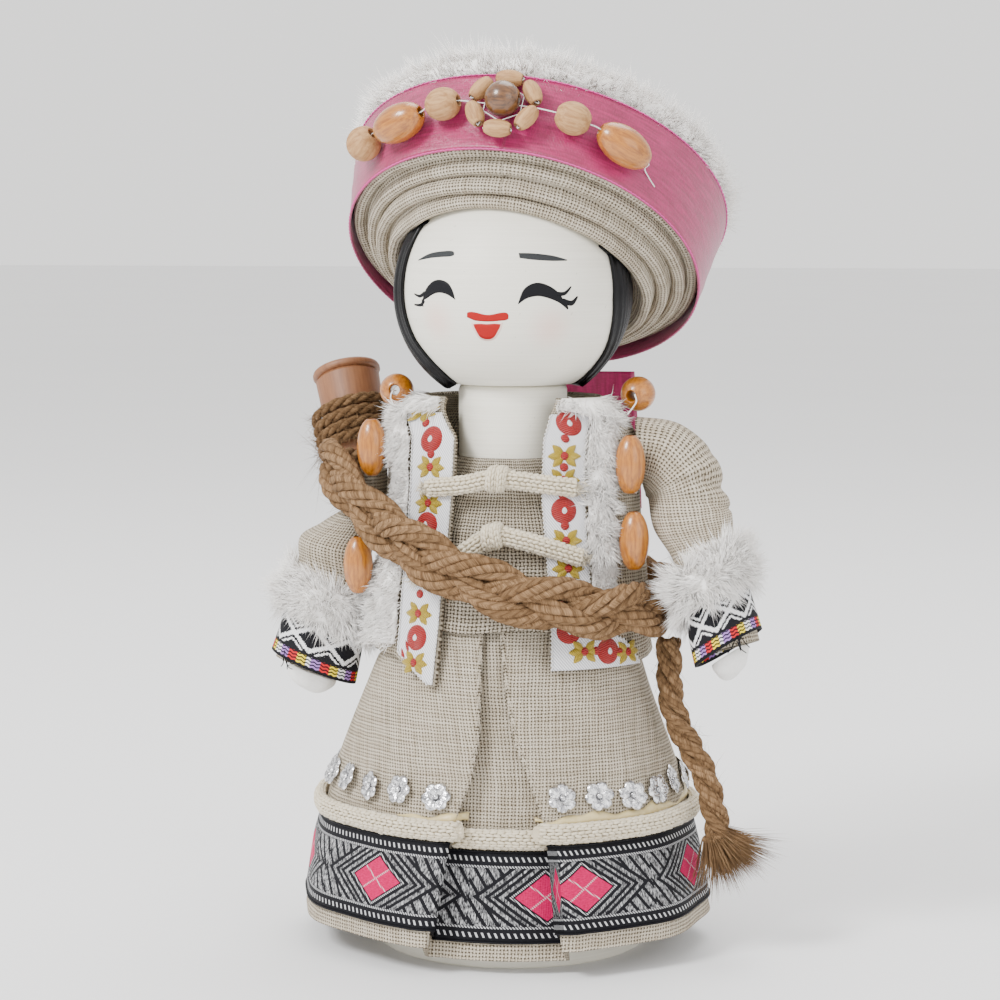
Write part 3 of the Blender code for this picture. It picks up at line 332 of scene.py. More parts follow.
def revolve(parts, profile, segments, place=(0, 0, 0), axes=None, wall=False, tone=0.5, seed=0.0):
    """A turned solid from (radius, height) points; its coordinates are its own axes, or round and up."""
    axes = np.eye(3) if axes is None else np.array(axes)
    points = []
    coords = []
    index = []
    run = 0.0
    last = None
    for radius, height in profile:
        if last is not None:
            run += math.hypot(radius - last[0], height - last[1])
        last = (radius, height)
        ring = segments + 1 if wall else segments
        if radius < 1e-9:
            ring = 1
        index.append(list(range(len(points), len(points) + ring)))
        for j in range(ring):
            t = 2 * math.pi * j / segments
            local = np.array((radius * math.sin(t), -radius * math.cos(t), height))
            points.append(np.array(place) + local @ axes)
            if wall:
                coords.append((t * max(radius, 0.001) * MM + seed, run * MM, seed))
            else:
                coords.append(local * MM + seed)
    faces = []
    for low, high in zip(index[:-1], index[1:]):
        for j in range(segments):
            if wall:
                k = j + 1
                corners = [low[min(j, len(low) - 1)], low[min(k, len(low) - 1)]]
                corners += [high[min(k, len(high) - 1)], high[min(j, len(high) - 1)]]
            else:
                k = (j + 1) % segments
                corners = [low[j % len(low)], low[k % len(low)], high[k % len(high)], high[j % len(high)]]
            faces.append(tuple(dict.fromkeys(corners)))
    return parts.add(points, faces, coords, tone)


def frames_along(path, closed=False, out=None):
    """Directions ahead, out and across at each point of a path; out is carried along it if none is given."""
    path = np.asarray(path, float)
    if closed:
        ahead = unit(np.roll(path, -1, axis=0) - np.roll(path, 1, axis=0))
    else:
        ahead = unit(np.gradient(path, axis=0))
    if out is None:
        start = np.cross(ahead[0], UP)
        if np.linalg.norm(start) < 0.2:
            start = np.cross(ahead[0], (1.0, 0, 0))
        now = unit(start)
        out = []
        for way in ahead:
            now = unit(now - way * np.dot(now, way))
            out.append(now)
        out = np.array(out)
    across = unit(np.cross(out, ahead))
    out = np.cross(ahead, across)
    return ahead, out, across


def tube(parts, path, radius, sides=8, closed=False, tone=0.5, flat=1.0, out=None, seed=0.0):
    """A tube along a path; its coordinates are its length in millimetres and the turn round it."""
    path = np.asarray(path, float)
    count = len(path)
    _, out, across = frames_along(path, closed, out)
    radius = np.broadcast_to(np.asarray(radius, float), (count,))
    t = 2 * math.pi * np.arange(sides) / sides
    ring = (
        path[:, None, :]
        + out[:, None, :] * (radius[:, None] * flat * np.cos(t)[None, :])[..., None]
        + across[:, None, :] * (radius[:, None] * np.sin(t)[None, :])[..., None]
    )
    steps = np.linalg.norm(np.diff(path, axis=0), axis=1)
    run = np.concatenate([[0.0], np.cumsum(steps)]) * MM
    coords = np.zeros((count, sides, 3))
    coords[..., 0] = run[:, None] + seed
    coords[..., 1] = (np.arange(sides) / sides)[None, :]
    coords[..., 2] = seed
    faces = grid_quads(count, sides, closed, True).tolist()
    points = ring.reshape(-1, 3)
    coords = coords.reshape(-1, 3)
    if not closed:
        points = np.vstack([points, path[:1], path[-1:]])
        coords = np.vstack([coords, coords[:1], coords[-1:]])
        first, last = count * sides, count * sides + 1
        faces += [((j + 1) % sides, j, first) for j in range(sides)]
        base = (count - 1) * sides
        faces += [(base + j, base + (j + 1) % sides, last) for j in range(sides)]
    return parts.add(points, [tuple(f) for f in faces], coords, tone)


def spikes(parts, starts, ways, bends, lengths, radii, tones, stops=(0.0, 0.5)):
    """Thin closed cones with three sides, bent as they grow: fibres and fur."""
    count = len(starts)
    lengths = np.asarray(lengths)[:, None]
    radii = np.asarray(radii)[:, None]
    helper = np.where(np.abs(ways[:, 2:3]) < 0.9, UP, np.array((1.0, 0, 0)))
    side = unit(np.cross(ways, helper))
    over = np.cross(ways, side)
    rings = []
    for stop in stops:
        centre = starts + ways * lengths * stop + bends * lengths * stop**2
        size = radii * (1 - stop) ** 0.5
        for j in range(3):
            t = 2 * math.pi * j / 3
            rings.append(centre + (side * math.cos(t) + over * math.sin(t)) * size)
    rings.append(starts + ways * lengths + bends * lengths)
    points = np.stack(rings, axis=1)
    shape = [(0, 2, 1)]
    for k in range(len(stops) - 1):
        for j in range(3):
            a, b = 3 * k + j, 3 * k + (j + 1) % 3
            shape += [(a, b, b + 3), (a, b + 3, a + 3)]
    tip = 3 * len(stops)
    top = tip - 3
    shape += [(top + j, top + (j + 1) % 3, tip) for j in range(3)]
    size = tip + 1
    faces = (np.array(shape)[None, :, :] + (np.arange(count) * size)[:, None, None]).reshape(-1, 3)
    coords = np.zeros((count, size, 3))
    coords[..., 0] = np.arange(size)[None, :] / size
    tone = np.repeat(np.asarray(tones), size)
    return parts.add(points.reshape(-1, 3), faces, coords, tone)


def spindles(parts, starts, ends, out, radius, bulge, tones, sides=4):
    """Short thick threads, pointed at both ends and raised in the middle: knitted stitches."""
    count = len(starts)
    ahead = unit(ends - starts)
    across = unit(np.cross(out, ahead))
    over = np.cross(ahead, across)
    stops = (0.22, 0.72)
    rings = [starts]
    for stop in stops:
        centre = starts + (ends - starts) * stop + out * bulge * math.sin(math.pi * stop)
        size = radius * (0.75 + 0.25 * math.sin(math.pi * stop))
        for j in range(sides):
            t = 2 * math.pi * (j + 0.5) / sides
            rings.append(centre + (across * math.cos(t) + over * math.sin(t)) * size)
    rings.append(ends)
    points = np.stack(rings, axis=1)
    shape = [(0, 1 + (j + 1) % sides, 1 + j) for j in range(sides)]
    for k in range(len(stops) - 1):
        for j in range(sides):
            a, b = 1 + sides * k + j, 1 + sides * k + (j + 1) % sides
            shape += [(a, b, b + sides), (a, b + sides, a + sides)]
    tip = 1 + sides * len(stops)
    top = tip - sides
    shape += [(top + j, top + (j + 1) % sides, tip) for j in range(sides)]
    size = tip + 1
    faces = (np.array(shape)[None, :, :] + (np.arange(count) * size)[:, None, None]).reshape(-1, 3)
    coords = np.zeros((count, size, 3))
    coords[..., 0] = np.arange(count)[:, None] * 0.37 + np.arange(size)[None, :] * 0.1
    return parts.add(points.reshape(-1, 3), faces, coords, np.repeat(np.asarray(tones), size))


def grid_normals(grid, wrap):
    """Outward normals of a grid of points; wrap says that its first and last columns are the same."""
    down = np.gradient(grid, axis=0)
    if wrap:
        ring = grid[:, :-1]
        along = np.roll(ring, -1, axis=1) - np.roll(ring, 1, axis=1)
        along = np.concatenate([along, along[:, :1]], axis=1)
    else:
        along = np.gradient(grid, axis=1)
    return unit(np.cross(along, down))


def add_cloth(parts, grid, coords, thickness, wrap=False, tone=0.5, away_from=None):
    """A sheet with a thickness, from the grid of points of its outside."""
    rows, columns = grid.shape[:2]
    normals = grid_normals(grid, wrap)
    centre = grid.reshape(-1, 3).mean(axis=0) * (1, 1, 0) if away_from is None else np.array(away_from)
    flat = (1.0, 1.0, 0.0) if away_from is None else (1.0, 1.0, 1.0)
    if np.mean(np.sum(normals * (grid - centre) * flat, axis=-1)) < 0:
        normals = -normals
    inner = grid - normals * thickness
    outer_faces = grid_quads(rows, columns)
    shift = rows * columns
    faces = [tuple(f) for f in outer_faces.tolist()]
    faces += [tuple(shift + k for k in reversed(f)) for f in faces]
    edges = [[k * columns for k in range(rows)], [k * columns + columns - 1 for k in range(rows)]]
    edges += [list(range(columns)), [(rows - 1) * columns + k for k in range(columns)]]
    for number, edge in enumerate(edges):
        for a, b in zip(edge[:-1], edge[1:]):
            face = (a, b, shift + b, shift + a)
            faces.append(face if number in (0, 3) else face[::-1])
    tone = np.broadcast_to(np.asarray(tone, float), (rows, columns)).ravel()
    return parts.add(
        np.vstack([grid.reshape(-1, 3), inner.reshape(-1, 3)]),
        faces,
        np.vstack([coords.reshape(-1, 3)] * 2),
        np.concatenate([tone, tone]),
    )


def arc_coords(grid, anchor=None):
    """Coordinates on a cloth from its rows' and columns' lengths; with an anchor, each row keeps its own."""
    rows, columns = grid.shape[:2]
    coords = np.zeros((rows, columns, 3))
    across = np.linalg.norm(np.diff(grid, axis=1), axis=2)
    middle = np.concatenate([[0.0], np.cumsum(across.mean(axis=0))])
    down = np.linalg.norm(np.diff(grid, axis=0), axis=2).mean(axis=1)
    coords[..., 0] = middle[None, :] * MM
    if anchor is not None:
        own = np.concatenate([np.zeros((rows, 1)), np.cumsum(across, axis=1)], axis=1)
        coords[..., 0] = (own - own[:, anchor : anchor + 1]) * MM
    coords[..., 1] = np.concatenate([[0.0], np.cumsum(down)])[:, None] * MM
    return coords


# Materials


class Value:
    """A number in a material's nodes; sums and products of it make further nodes."""

    def __init__(self, graph, socket):
        self.graph = graph
        self.socket = socket

    def __add__(self, other):
        return self.graph.math("ADD", self, other)

    def __radd__(self, other):
        return self.graph.math("ADD", other, self)

    def __sub__(self, other):
        return self.graph.math("SUBTRACT", self, other)

    def __rsub__(self, other):
        return self.graph.math("SUBTRACT", other, self)

    def __mul__(self, other):
        return self.graph.math("MULTIPLY", self, other)

    def __rmul__(self, other):
        return self.graph.math("MULTIPLY", other, self)

    def __truediv__(self, other):
        return self.graph.math("DIVIDE", self, other)

    def __abs__(self):
        return self.graph.math("ABSOLUTE", self)

    def __mod__(self, other):
        return self.graph.math("FLOORED_MODULO", self, other)

    def power(self, other):
        return self.graph.math("POWER", self, other)

    def sin(self):
        return self.graph.math("SINE", self)

    def below(self, edge, soft=0.0):
        """1 where the number is under an edge, 0 above it, over a soft width."""
        return self.graph.ramp(self, edge + soft / 2, edge - soft / 2)

    def above(self, edge, soft=0.0):
        return self.graph.ramp(self, edge - soft / 2, edge + soft / 2)

    def largest(self, other):
        return self.graph.math("MAXIMUM", self, other)

    def smallest(self, other):
        return self.graph.math("MINIMUM", self, other)


class Graph:
    """One material and a short way to write its nodes."""

    def __init__(self, name):
        self.material = bpy.data.materials.new(name)
        self.material.use_nodes = True
        self.nodes = self.material.node_tree.nodes
        self.links = self.material.node_tree.links
        self.shader = self.nodes["Principled BSDF"]

    def set(self, socket, value):
        if isinstance(value, Value):
            value = value.socket
        if isinstance(value, bpy.types.NodeSocket):
            self.links.new(value, socket)
        elif isinstance(value, (tuple, list)) and len(value) == 3 and socket.type == "RGBA":
            socket.default_value = (*value, 1.0)
        else:
            socket.default_value = value

    def math(self, operation, a, b=None):
        node = self.nodes.new("ShaderNodeMath")
        node.operation = operation
        self.set(node.inputs[0], a)
        if b is not None:
            self.set(node.inputs[1], b)
        return Value(self, node.outputs[0])

    def ramp(self, value, low, high):
        node = self.nodes.new("ShaderNodeMapRange")
        node.interpolation_type = "SMOOTHSTEP" if abs(high - low) > 1e-4 else "LINEAR"
        if abs(high - low) <= 1e-4:
            high = low + math.copysign(1e-4, high - low) if high != low else low + 1e-4
        self.set(node.inputs["Value"], value)
        node.inputs["From Min"].default_value = min(low, high)
        node.inputs["From Max"].default_value = max(low, high)
        node.inputs["To Min"].default_value = 0.0 if high > low else 1.0
        node.inputs["To Max"].default_value = 1.0 if high > low else 0.0
        return Value(self, node.outputs[0])

    def attribute(self, name):
        node = self.nodes.new("ShaderNodeAttribute")
        node.attribute_name = name
        return node

    def cloth(self):
        """The piece's own coordinates: a vector socket and its three numbers."""
        node = self.attribute("cloth")
        return node.outputs["Vector"], self.split(node.outputs["Vector"])

    def tone(self):
        return Value(self, self.attribute("tone").outputs["Fac"])

    def split(self, vector):
        node = self.nodes.new("ShaderNodeSeparateXYZ")
        self.links.new(vector, node.inputs[0])
        return [Value(self, node.outputs[k]) for k in range(3)]

    def vector(self, x, y, z=0.0):
        node = self.nodes.new("ShaderNodeCombineXYZ")
        for socket, value in zip(node.inputs, (x, y, z)):
            self.set(socket, value)
        return node.outputs[0]

    def place(self):
        """Where a point is on the doll, in metres."""
        node = self.nodes.new("ShaderNodeTexCoord")
        return node.outputs["Object"], self.split(node.outputs["Object"])

    def noise(self, vector, scale=1.0, detail=2.0, roughness=0.5):
        node = self.nodes.new("ShaderNodeTexNoise")
        self.links.new(vector, node.inputs["Vector"])
        node.inputs["Scale"].default_value = scale
        node.inputs["Detail"].default_value = detail
        node.inputs["Roughness"].default_value = roughness
        return Value(self, node.outputs["Fac"])

    def mix(self, share, a, b):
        node = self.nodes.new("ShaderNodeMix")
        node.data_type = "RGBA"
        self.set(node.inputs[0], share)
        self.set(node.inputs[6], a)
        self.set(node.inputs[7], b)
        return node.outputs[2]

    def finish(self, colour, roughness=0.6, height=None, depth=0.0002, strength=1.0, **constants):
        """Connects the shader; constants are its sockets' names with underscores."""
        self.set(self.shader.inputs["Base Color"], colour)
        self.set(self.shader.inputs["Roughness"], roughness)
        for name, value in constants.items():
            self.set(self.shader.inputs[name.replace("_", " ")], value)
        if height is not None:
            bump = self.nodes.new("ShaderNodeBump")
            bump.inputs["Strength"].default_value = strength
            bump.inputs["Distance"].default_value = depth
            self.set(bump.inputs["Height"], height)
            self.links.new(bump.outputs[0], self.shader.inputs["Normal"])
        return self.material


def linen(name, light, dark, hole_shade, pitch=1.02, openness=0.58):
    """Plain weave: light and dark thread colours, and the colour of painted shade in the holes between
    threads.
    """
    g = Graph(name)
    vector, (x, y, _) = g.cloth()
    wander = g.noise(vector, 0.22, 2.0)
    wander_up = g.noise(g.vector(y, x, 7.0), 0.22, 2.0)
    u = x * (1 / pitch) + (wander - 0.5) * 0.7
    v = y * (1 / pitch) + (wander_up - 0.5) * 0.7
    across = (u * math.pi).sin()
    along = (v * math.pi).sin()
    over = across * along
    wide = abs(across)
    tall = abs(along)
    slub_across = g.noise(g.vector(u * 1.0, v * 0.05, 3.0), 1.1, 2.0)
    slub_along = g.noise(g.vector(u * 0.05, v * 1.0, 9.0), 1.1, 2.0)
    warp = wide.power(0.6) * (over * 0.30 + 0.70) * (slub_across * 0.35 + 0.82)
    weft = tall.power(0.6) * (0.70 - over * 0.30) * (slub_along * 0.35 + 0.82)
    height = warp.largest(weft)
    thread = g.mix(g.ramp(slub_across * 0.5 + slub_along * 0.5, 0.25, 0.70), dark, light)
    # The holes between threads get a near-black colour: painted shade where the threads part.
    holes = height.below(openness, 0.22)
    colour = g.mix(holes, thread, hole_shade)
    cloud = g.noise(vector, 0.06, 3.0)
    colour = g.mix(g.ramp(cloud, 0.3, 0.75) * 0.16, colour, dark)
    return g.finish(colour, 0.93, height, 0.00045, 0.9, Specular_IOR_Level=0.15)


def fur_material():
    g = Graph("white fur")
    tone = g.tone()
    colour = g.mix(tone, (0.90, 0.86, 0.82), (1.0, 0.985, 0.96))
    return g.finish(colour, 0.9, Specular_IOR_Level=0.1)


def satin(name, light, dark):
    """Woven satin ribbon: fine ribs across it, and soft painted sheen streaks along it."""
    g = Graph(name)
    vector, (x, y, _) = g.cloth()
    ribs = (x * (2 * math.pi / 0.42)).sin()
    streak = g.noise(g.vector(x * 0.12, y * 1.3, 2.0), 1.0, 3.0)
    fine = g.noise(g.vector(x * 5.0, y * 0.5, 4.0), 1.0, 2.0)
    # The colour runs from the dark to the light pink along the streaks: painted sheen on the satin.
    colour = g.mix(g.ramp(streak * 0.6 + fine * 0.4, 0.3, 0.72), dark, light)
    height = ribs * 0.15 + fine * 0.6 + g.noise(vector, 0.8, 2.0) * 0.8
    rough = fine * 0.16 + 0.27
    return g.finish(
        colour, rough, height, 0.00012, 0.8, Sheen_Weight=0.25, Specular_IOR_Level=0.6, Anisotropic=0.5
    )


def bead_wood(name, light, dark, gloss, grain=1.0):
    """Turned wood with grain along the bead."""
    g = Graph(name)
    _, (x, y, z) = g.cloth()
    stretched = g.vector(x * 1.3, y * 1.3, z * 0.16)
    rings = g.noise(stretched, 0.9 * grain, 4.0, 0.62)
    pores = g.noise(g.vector(x * 5.0, y * 5.0, z * 0.5), 1.1 * grain, 2.0)
    colour = g.mix(g.ramp(rings, 0.34, 0.68), light, dark)
    colour = g.mix(g.ramp(pores, 0.58, 0.74) * 0.2, colour, dark)
    # Near the axis the wood is darkened: painted shade inside the bead's hole.
    hole = (x * x + y * y).power(0.5).below(1.45, 0.5)
    colour = g.mix(hole * 0.7, colour, (dark[0] * 0.35, dark[1] * 0.3, dark[2] * 0.3))
    rough = pores * 0.2 + (0.22 if gloss else 0.55)
    return g.finish(
        colour, rough, pores, 0.00006, 0.6, Coat_Weight=0.6 if gloss else 0.0, Coat_Roughness=0.12
    )


def painted_wood(name, colour, shade):
    """Brushed paint on a turned piece: faint level brush lines and tiny specks."""
    g = Graph(name)
    vector, (x, y, z) = g.place()
    lines = g.noise(g.vector(x * 26, y * 26, z * 2600), 1.0, 3.0, 0.6)
    broad = g.noise(vector, 40, 2.0)
    specks = g.noise(vector, 900, 0.0)
    mixed = g.mix(g.ramp(lines, 0.3, 0.7) * 0.55, shade, colour)
    mixed = g.mix(g.ramp(broad, 0.45, 0.8) * 0.25, mixed, shade)
    mixed = g.mix(specks.above(0.84, 0.02) * 0.25, mixed, (0.22, 0.20, 0.17))
    if name == "ivory paint on the head":
        for side, forward, rise, share in (
            (-0.0170, -0.0285, 0.1885, 0.36), (0.0165, -0.0262, 0.1868, 0.36)
        ):
            away = (
                (x - side) * (x - side) + (y - forward) * (y - forward) + (z - rise) * (z - rise)
            ).power(0.5)
            mixed = g.mix(away.below(0.0045, 0.009) * share, mixed, (0.86, 0.42, 0.36))
    return g.finish(mixed, lines * 0.1 + 0.42, lines, 0.00004, 0.5, Specular_IOR_Level=0.4)


def hair_material():
    g = Graph("black hair")
    _, (x, y, _) = g.cloth()
    streak = g.noise(g.vector(x * 2.6, y * 0.05), 1.0, 3.0, 0.7)
    colour = g.mix(g.ramp(streak, 0.45, 0.75), (0.001, 0.001, 0.0015), (0.008, 0.008, 0.010))
    return g.finish(colour, 0.3, streak, 0.00018, 0.7, Specular_IOR_Level=0.2, Anisotropic=0.6)


def jute_material():
    """Twisted fibres: slanted streaks on every cord, and painted shade in the grooves between plies."""
    g = Graph("jute")
    _, (x, turn, seed) = g.cloth()
    tone = g.tone()
    slanted = x * 0.32 + turn * 1.0
    ply = ((slanted * (2 * math.pi)).sin() * 0.5 + 0.5).power(0.6)
    fibre = g.noise(g.vector(x * 0.6, turn * 14 + x * 4.0, seed), 1.0, 4.0, 0.7)
    light = g.mix(tone, (0.17, 0.095, 0.042), (0.37, 0.225, 0.115))
    colour = g.mix(g.ramp(fibre, 0.35, 0.7), light, (0.095, 0.050, 0.022))
    # Darker in the grooves between the slanted plies: painted shade.
    colour = g.mix(ply.below(0.35, 0.5) * 0.45, colour, (0.055, 0.024, 0.008))
    return g.finish(colour, 0.9, ply * 0.7 + fibre * 0.5, 0.0004, 1.0, Specular_IOR_Level=0.2)


def cotton_material():
    g = Graph("cotton cord")
    _, (x, y, seed) = g.cloth()
    tone = g.tone()
    fibre = g.noise(g.vector(x * 2.0, y * 2.0, seed), 1.5, 3.0)
    colour = g.mix(tone * 0.6 + fibre * 0.4, (0.50, 0.42, 0.28), (0.78, 0.70, 0.54))
    return g.finish(colour, 0.92, fibre, 0.0001, 0.6, Sheen_Weight=0.3)


def plain_thread(name, dark, light, rough=0.8, **constants):
    g = Graph(name)
    vector, _ = g.cloth()
    colour = g.mix(g.noise(vector, 1.2, 2.0), dark, light)
    return g.finish(colour, rough, g.noise(vector, 3.0, 2.0), 0.0001, 0.5, **constants)


def stitched(name, dark, light, pitch, metal=0.0, rough=0.45, slant=0.35):
    """Satin stitches lying side by side: x and y are the stitch field's own coordinates."""
    g = Graph(name)
    vector, (x, y, _) = g.cloth()
    line = (y + abs(x) * slant + g.noise(vector, 0.9, 1.0) * 0.25) * (2 * math.pi / pitch)
    ridge = line.sin() * 0.5 + 0.5
    # Colour follows the stitch ridges: painted shade in the grooves between stitches, painted highlight on
    # their crests.
    colour = g.mix(g.ramp(ridge, 0.1, 0.7), dark, light)
    return g.finish(colour, rough, ridge, 0.00022, 0.9, Metallic=metal, Sheen_Weight=0.1)


def white_ribbon_material():
    """White satin with a fine slanted twill: painted shade in its grooves and painted silver highlights on
    its ridges.
    """
    g = Graph("white ribbon")
    vector, (x, y, _) = g.cloth()
    twill = ((x + y * 0.75) * (2 * math.pi / 0.75)).sin() * 0.5 + 0.5
    cross = ((x - y * 0.4) * (2 * math.pi / 0.52)).sin() * 0.5 + 0.5
    weave = twill * 0.7 + cross * 0.3
    # Grey in the twill's grooves, near white on its ridges: painted shade and painted highlight.
    colour = g.mix(g.ramp(weave, 0.15, 0.8), (0.40, 0.40, 0.43), (0.86, 0.86, 0.88))
    colour = g.mix(g.noise(vector, 0.3, 2.0) * 0.2, colour, (0.60, 0.60, 0.63))
    return g.finish(colour, 0.42, weave, 0.00012, 0.8, Sheen_Weight=0.2)


def woven_ribbon_material():
    """Black ribbon with silver bars, nested lines and pink diamonds; x runs along it, y up."""
    g = Graph("woven ribbon")
    _, (x, y, _) = g.cloth()
    width = (SKIRT_RIBBON_TOP - SKIRT_RIBBON_BOTTOM) * MM
    dx = (x + DIAMOND_REPEAT / 2 + DIAMOND_REPEAT * 20) % DIAMOND_REPEAT - DIAMOND_REPEAT / 2
    dy = y - width / 2
    ax = abs(dx) * (1 / DIAMOND_WIDE)
    ay = abs(dy) * (1 / DIAMOND_TALL)
    edge = width / 2 - abs(dy)
    field = edge.above(4.6, 0.1)
    diamond = ax + ay
    pink = diamond.below(0.92, 0.03) * field
    cross = abs(ax - ay).below(0.045, 0.03)
    dotted = ((x + y) * (2 * math.pi / 0.9)).sin().above(-0.1, 0.5)
    outline = diamond.above(0.99, 0.02) * diamond.below(1.09, 0.02) * dotted
    chevrons = diamond.above(1.26, 0.03) * diamond.below(1.42, 0.03)
    chevrons = chevrons + diamond.above(1.58, 0.03) * diamond.below(1.68, 0.03)
    chevrons = chevrons + diamond.above(1.84, 0.03) * diamond.below(2.02, 0.03)
    bars = ((dx * 0.80 + dy * 0.60 + 60.0) % 3.0).below(2.0, 0.15) * diamond.above(2.2, 0.03)
    # Streaky noise for painted glints: the silver threads show, and brighten, where it is high.
    painted_glint = g.noise(g.vector(x * 5.2, y * 0.5, 1.0), 1.0, 2.0, 0.7)
    broken = g.noise(g.vector(x * 1.4, y * 1.0, 6.0), 1.0, 2.0)
    silver = (chevrons + bars).smallest(1.0) * g.ramp(painted_glint * 0.7 + broken * 0.3, 0.44, 0.60)
    border_line = edge.above(3.9, 0.1) * edge.below(4.5, 0.1) * dotted
    dashes = ((x + dy * 0.5) * (2 * math.pi / 1.8)).sin().above(0.45, 0.4)
    dashes = dashes * edge.above(1.5, 0.1) * edge.below(2.8, 0.1)
    silver = ((silver + outline) * field + border_line * 0.9 + dashes * 0.9).smallest(1.0)
    pink_line = pink * cross * dotted
    fibre = g.noise(g.vector(x * 1.6, y * 7.0, 3.0), 1.0, 3.0, 0.6)
    black = g.mix(fibre, (0.002, 0.002, 0.003), (0.012, 0.012, 0.016))
    mottled = g.ramp(g.noise(g.vector(x * 0.8, y * 4.0, 5.0), 1.2, 2.0), 0.3, 0.7)
    colour = g.mix(pink, black, g.mix(mottled, (0.40, 0.001, 0.055), (0.62, 0.003, 0.11)))
    # Silver colour from grey to near white by the painted glint noise: painted highlight on the metal
    # thread.
    bright = g.mix(painted_glint, (0.30, 0.31, 0.33), (0.95, 0.95, 0.96))
    colour = g.mix((silver + pink_line * 0.7).smallest(1.0), colour, bright)
    ribs = (x * (2 * math.pi / 0.5)).sin() * 0.5 + 0.5
    height = silver * 0.6 + pink * 0.5 + ribs * 0.25 + fibre * 0.3
    metal = silver * 0.5
    return g.finish(
        colour, 0.6 - silver * 0.25, height, 0.00028, 0.9, Metallic=metal, Specular_IOR_Level=0.12
    )


def cuff_band_material():
    """Black band with white stepped zigzags and a lower stripe of coloured wavy lines."""
    g = Graph("cuff band")
    _, (x, y, _) = g.cloth()
    cell = 0.42
    qx = g.math("FLOOR", x * (1 / cell)) * cell + cell / 2
    qy = g.math("FLOOR", y * (1 / cell)) * cell + cell / 2
    wave = abs((qx % CUFF_REPEAT) * (2 / CUFF_REPEAT) - 1.0) * 3.6
    rise = abs(qy - 8.9)
    line = abs(rise - wave).below(0.72, 0.05)
    second = abs(rise - wave - 1.9).below(0.36, 0.05)
    inside = y.above(4.7, 0.1) * y.below(13.0, 0.1)
    white = (line + second).smallest(1.0) * inside
    checks = ((x * (2 * math.pi / 0.84)).sin() * (y * (2 * math.pi / 0.84)).sin()).above(-0.5, 0.2)
    white = white * (checks * 0.35 + 0.65)
    stripe = y.above(0.8, 0.1) * y.below(3.9, 0.1)
    waver = (x * (2 * math.pi / 1.7)).sin() * 0.16
    threads = (((y + waver) * (2 * math.pi / 1.0)).sin()).above(-0.25, 0.3)
    place = (x % 10.4) * (1 / 2.6)
    first = place.below(1.0, 0.05)
    next_one = place.below(2.0, 0.05)
    last = place.below(3.0, 0.05)
    bright = g.mix(last, (0.82, 0.80, 0.82), (0.34, 0.18, 0.52))
    bright = g.mix(next_one, bright, (0.58, 0.015, 0.02))
    bright = g.mix(first, bright, (0.80, 0.62, 0.03))
    fibre = g.noise(g.vector(x * 1.5, y * 6.0, 3.0), 1.0, 3.0)
    black = g.mix(fibre, (0.002, 0.002, 0.003), (0.012, 0.012, 0.016))
    colour = g.mix(white, black, (0.88, 0.88, 0.89))
    colour = g.mix(stripe * threads, colour, bright)
    ribs = ((x * (2 * math.pi / 0.42)).sin() * 0.5 + 0.5) * 0.4
    return g.finish(
        colour, 0.75, white * 0.5 + stripe * threads * 0.5 + ribs, 0.0002, 0.8, Specular_IOR_Level=0.2
    )


def sequin_material():
    g = Graph("silver sequins")
    vector, _ = g.cloth()
    facets = g.noise(vector, 1.1, 2.0, 0.6)
    # Brightness varies with the facet noise: painted reflections on the silver.
    colour = g.mix(g.ramp(facets, 0.35, 0.65), (0.34, 0.34, 0.36), (0.97, 0.97, 0.98))
    return g.finish(colour, 0.14, facets, 0.0004, 0.8, Metallic=0.95)


def turned_wood_material():
    """Matte stained wood with fine level turning marks and upright grain."""
    g = Graph("turned wood")
    _, (x, y, z) = g.cloth()
    marks = g.noise(g.vector(x * 0.05, y * 0.05, z * 3.0), 1.0, 3.0)
    grain = g.noise(g.vector(x * 0.9, y * 0.9, z * 0.09), 1.0, 4.0, 0.6)
    colour = g.mix(g.ramp(grain, 0.3, 0.75), (0.26, 0.110, 0.046), (0.19, 0.074, 0.030))
    colour = g.mix(g.ramp(marks, 0.45, 0.75) * 0.25, colour, (0.20, 0.09, 0.045))
    return g.finish(colour, 0.52, marks * 0.6 + grain * 0.4, 0.00008, 0.6)


def glue_material():
    g = Graph("glue")
    vector, _ = g.cloth()
    colour = g.mix(g.noise(vector, 0.5, 2.0), (0.55, 0.42, 0.17), (0.74, 0.63, 0.36))
    return g.finish(colour, 0.35, g.noise(vector, 1.2, 2.0), 0.0002, 0.6, Specular_IOR_Level=0.5)


LINEN = linen("linen", (0.60, 0.535, 0.43), (0.38, 0.32, 0.235), (0.06, 0.046, 0.03))
OPEN_LINEN = linen(
    "open linen", (0.58, 0.515, 0.415), (0.36, 0.305, 0.225), (0.045, 0.034, 0.022), 1.04, 0.63
)
FUR = fur_material()
PINK = satin("pink satin", (0.42, 0.008, 0.115), (0.20, 0.002, 0.045))
AMBER = bead_wood("amber wood", (0.46, 0.165, 0.012), (0.27, 0.080, 0.004), True)
PALE = bead_wood("pale wood", (0.50, 0.285, 0.12), (0.32, 0.155, 0.055), False, 0.8)
BROWN = bead_wood("brown wood", (0.16, 0.062, 0.015), (0.055, 0.019, 0.004), True)
BODY_PAINT = painted_wood("ivory paint on the body", (0.86, 0.835, 0.745), (0.75, 0.72, 0.62))
HEAD_PAINT = painted_wood("ivory paint on the head", (0.88, 0.855, 0.765), (0.78, 0.755, 0.66))
HAIR = hair_material()
JUTE = jute_material()
COTTON = cotton_material()
THREAD = plain_thread("white thread", (0.75, 0.74, 0.72), (0.95, 0.94, 0.92))
PICOT = plain_thread("ribbon edge thread", (0.62, 0.61, 0.60), (0.88, 0.87, 0.86))
PINK_EDGE = plain_thread("pink edge thread", (0.50, 0.02, 0.20), (0.80, 0.10, 0.42))
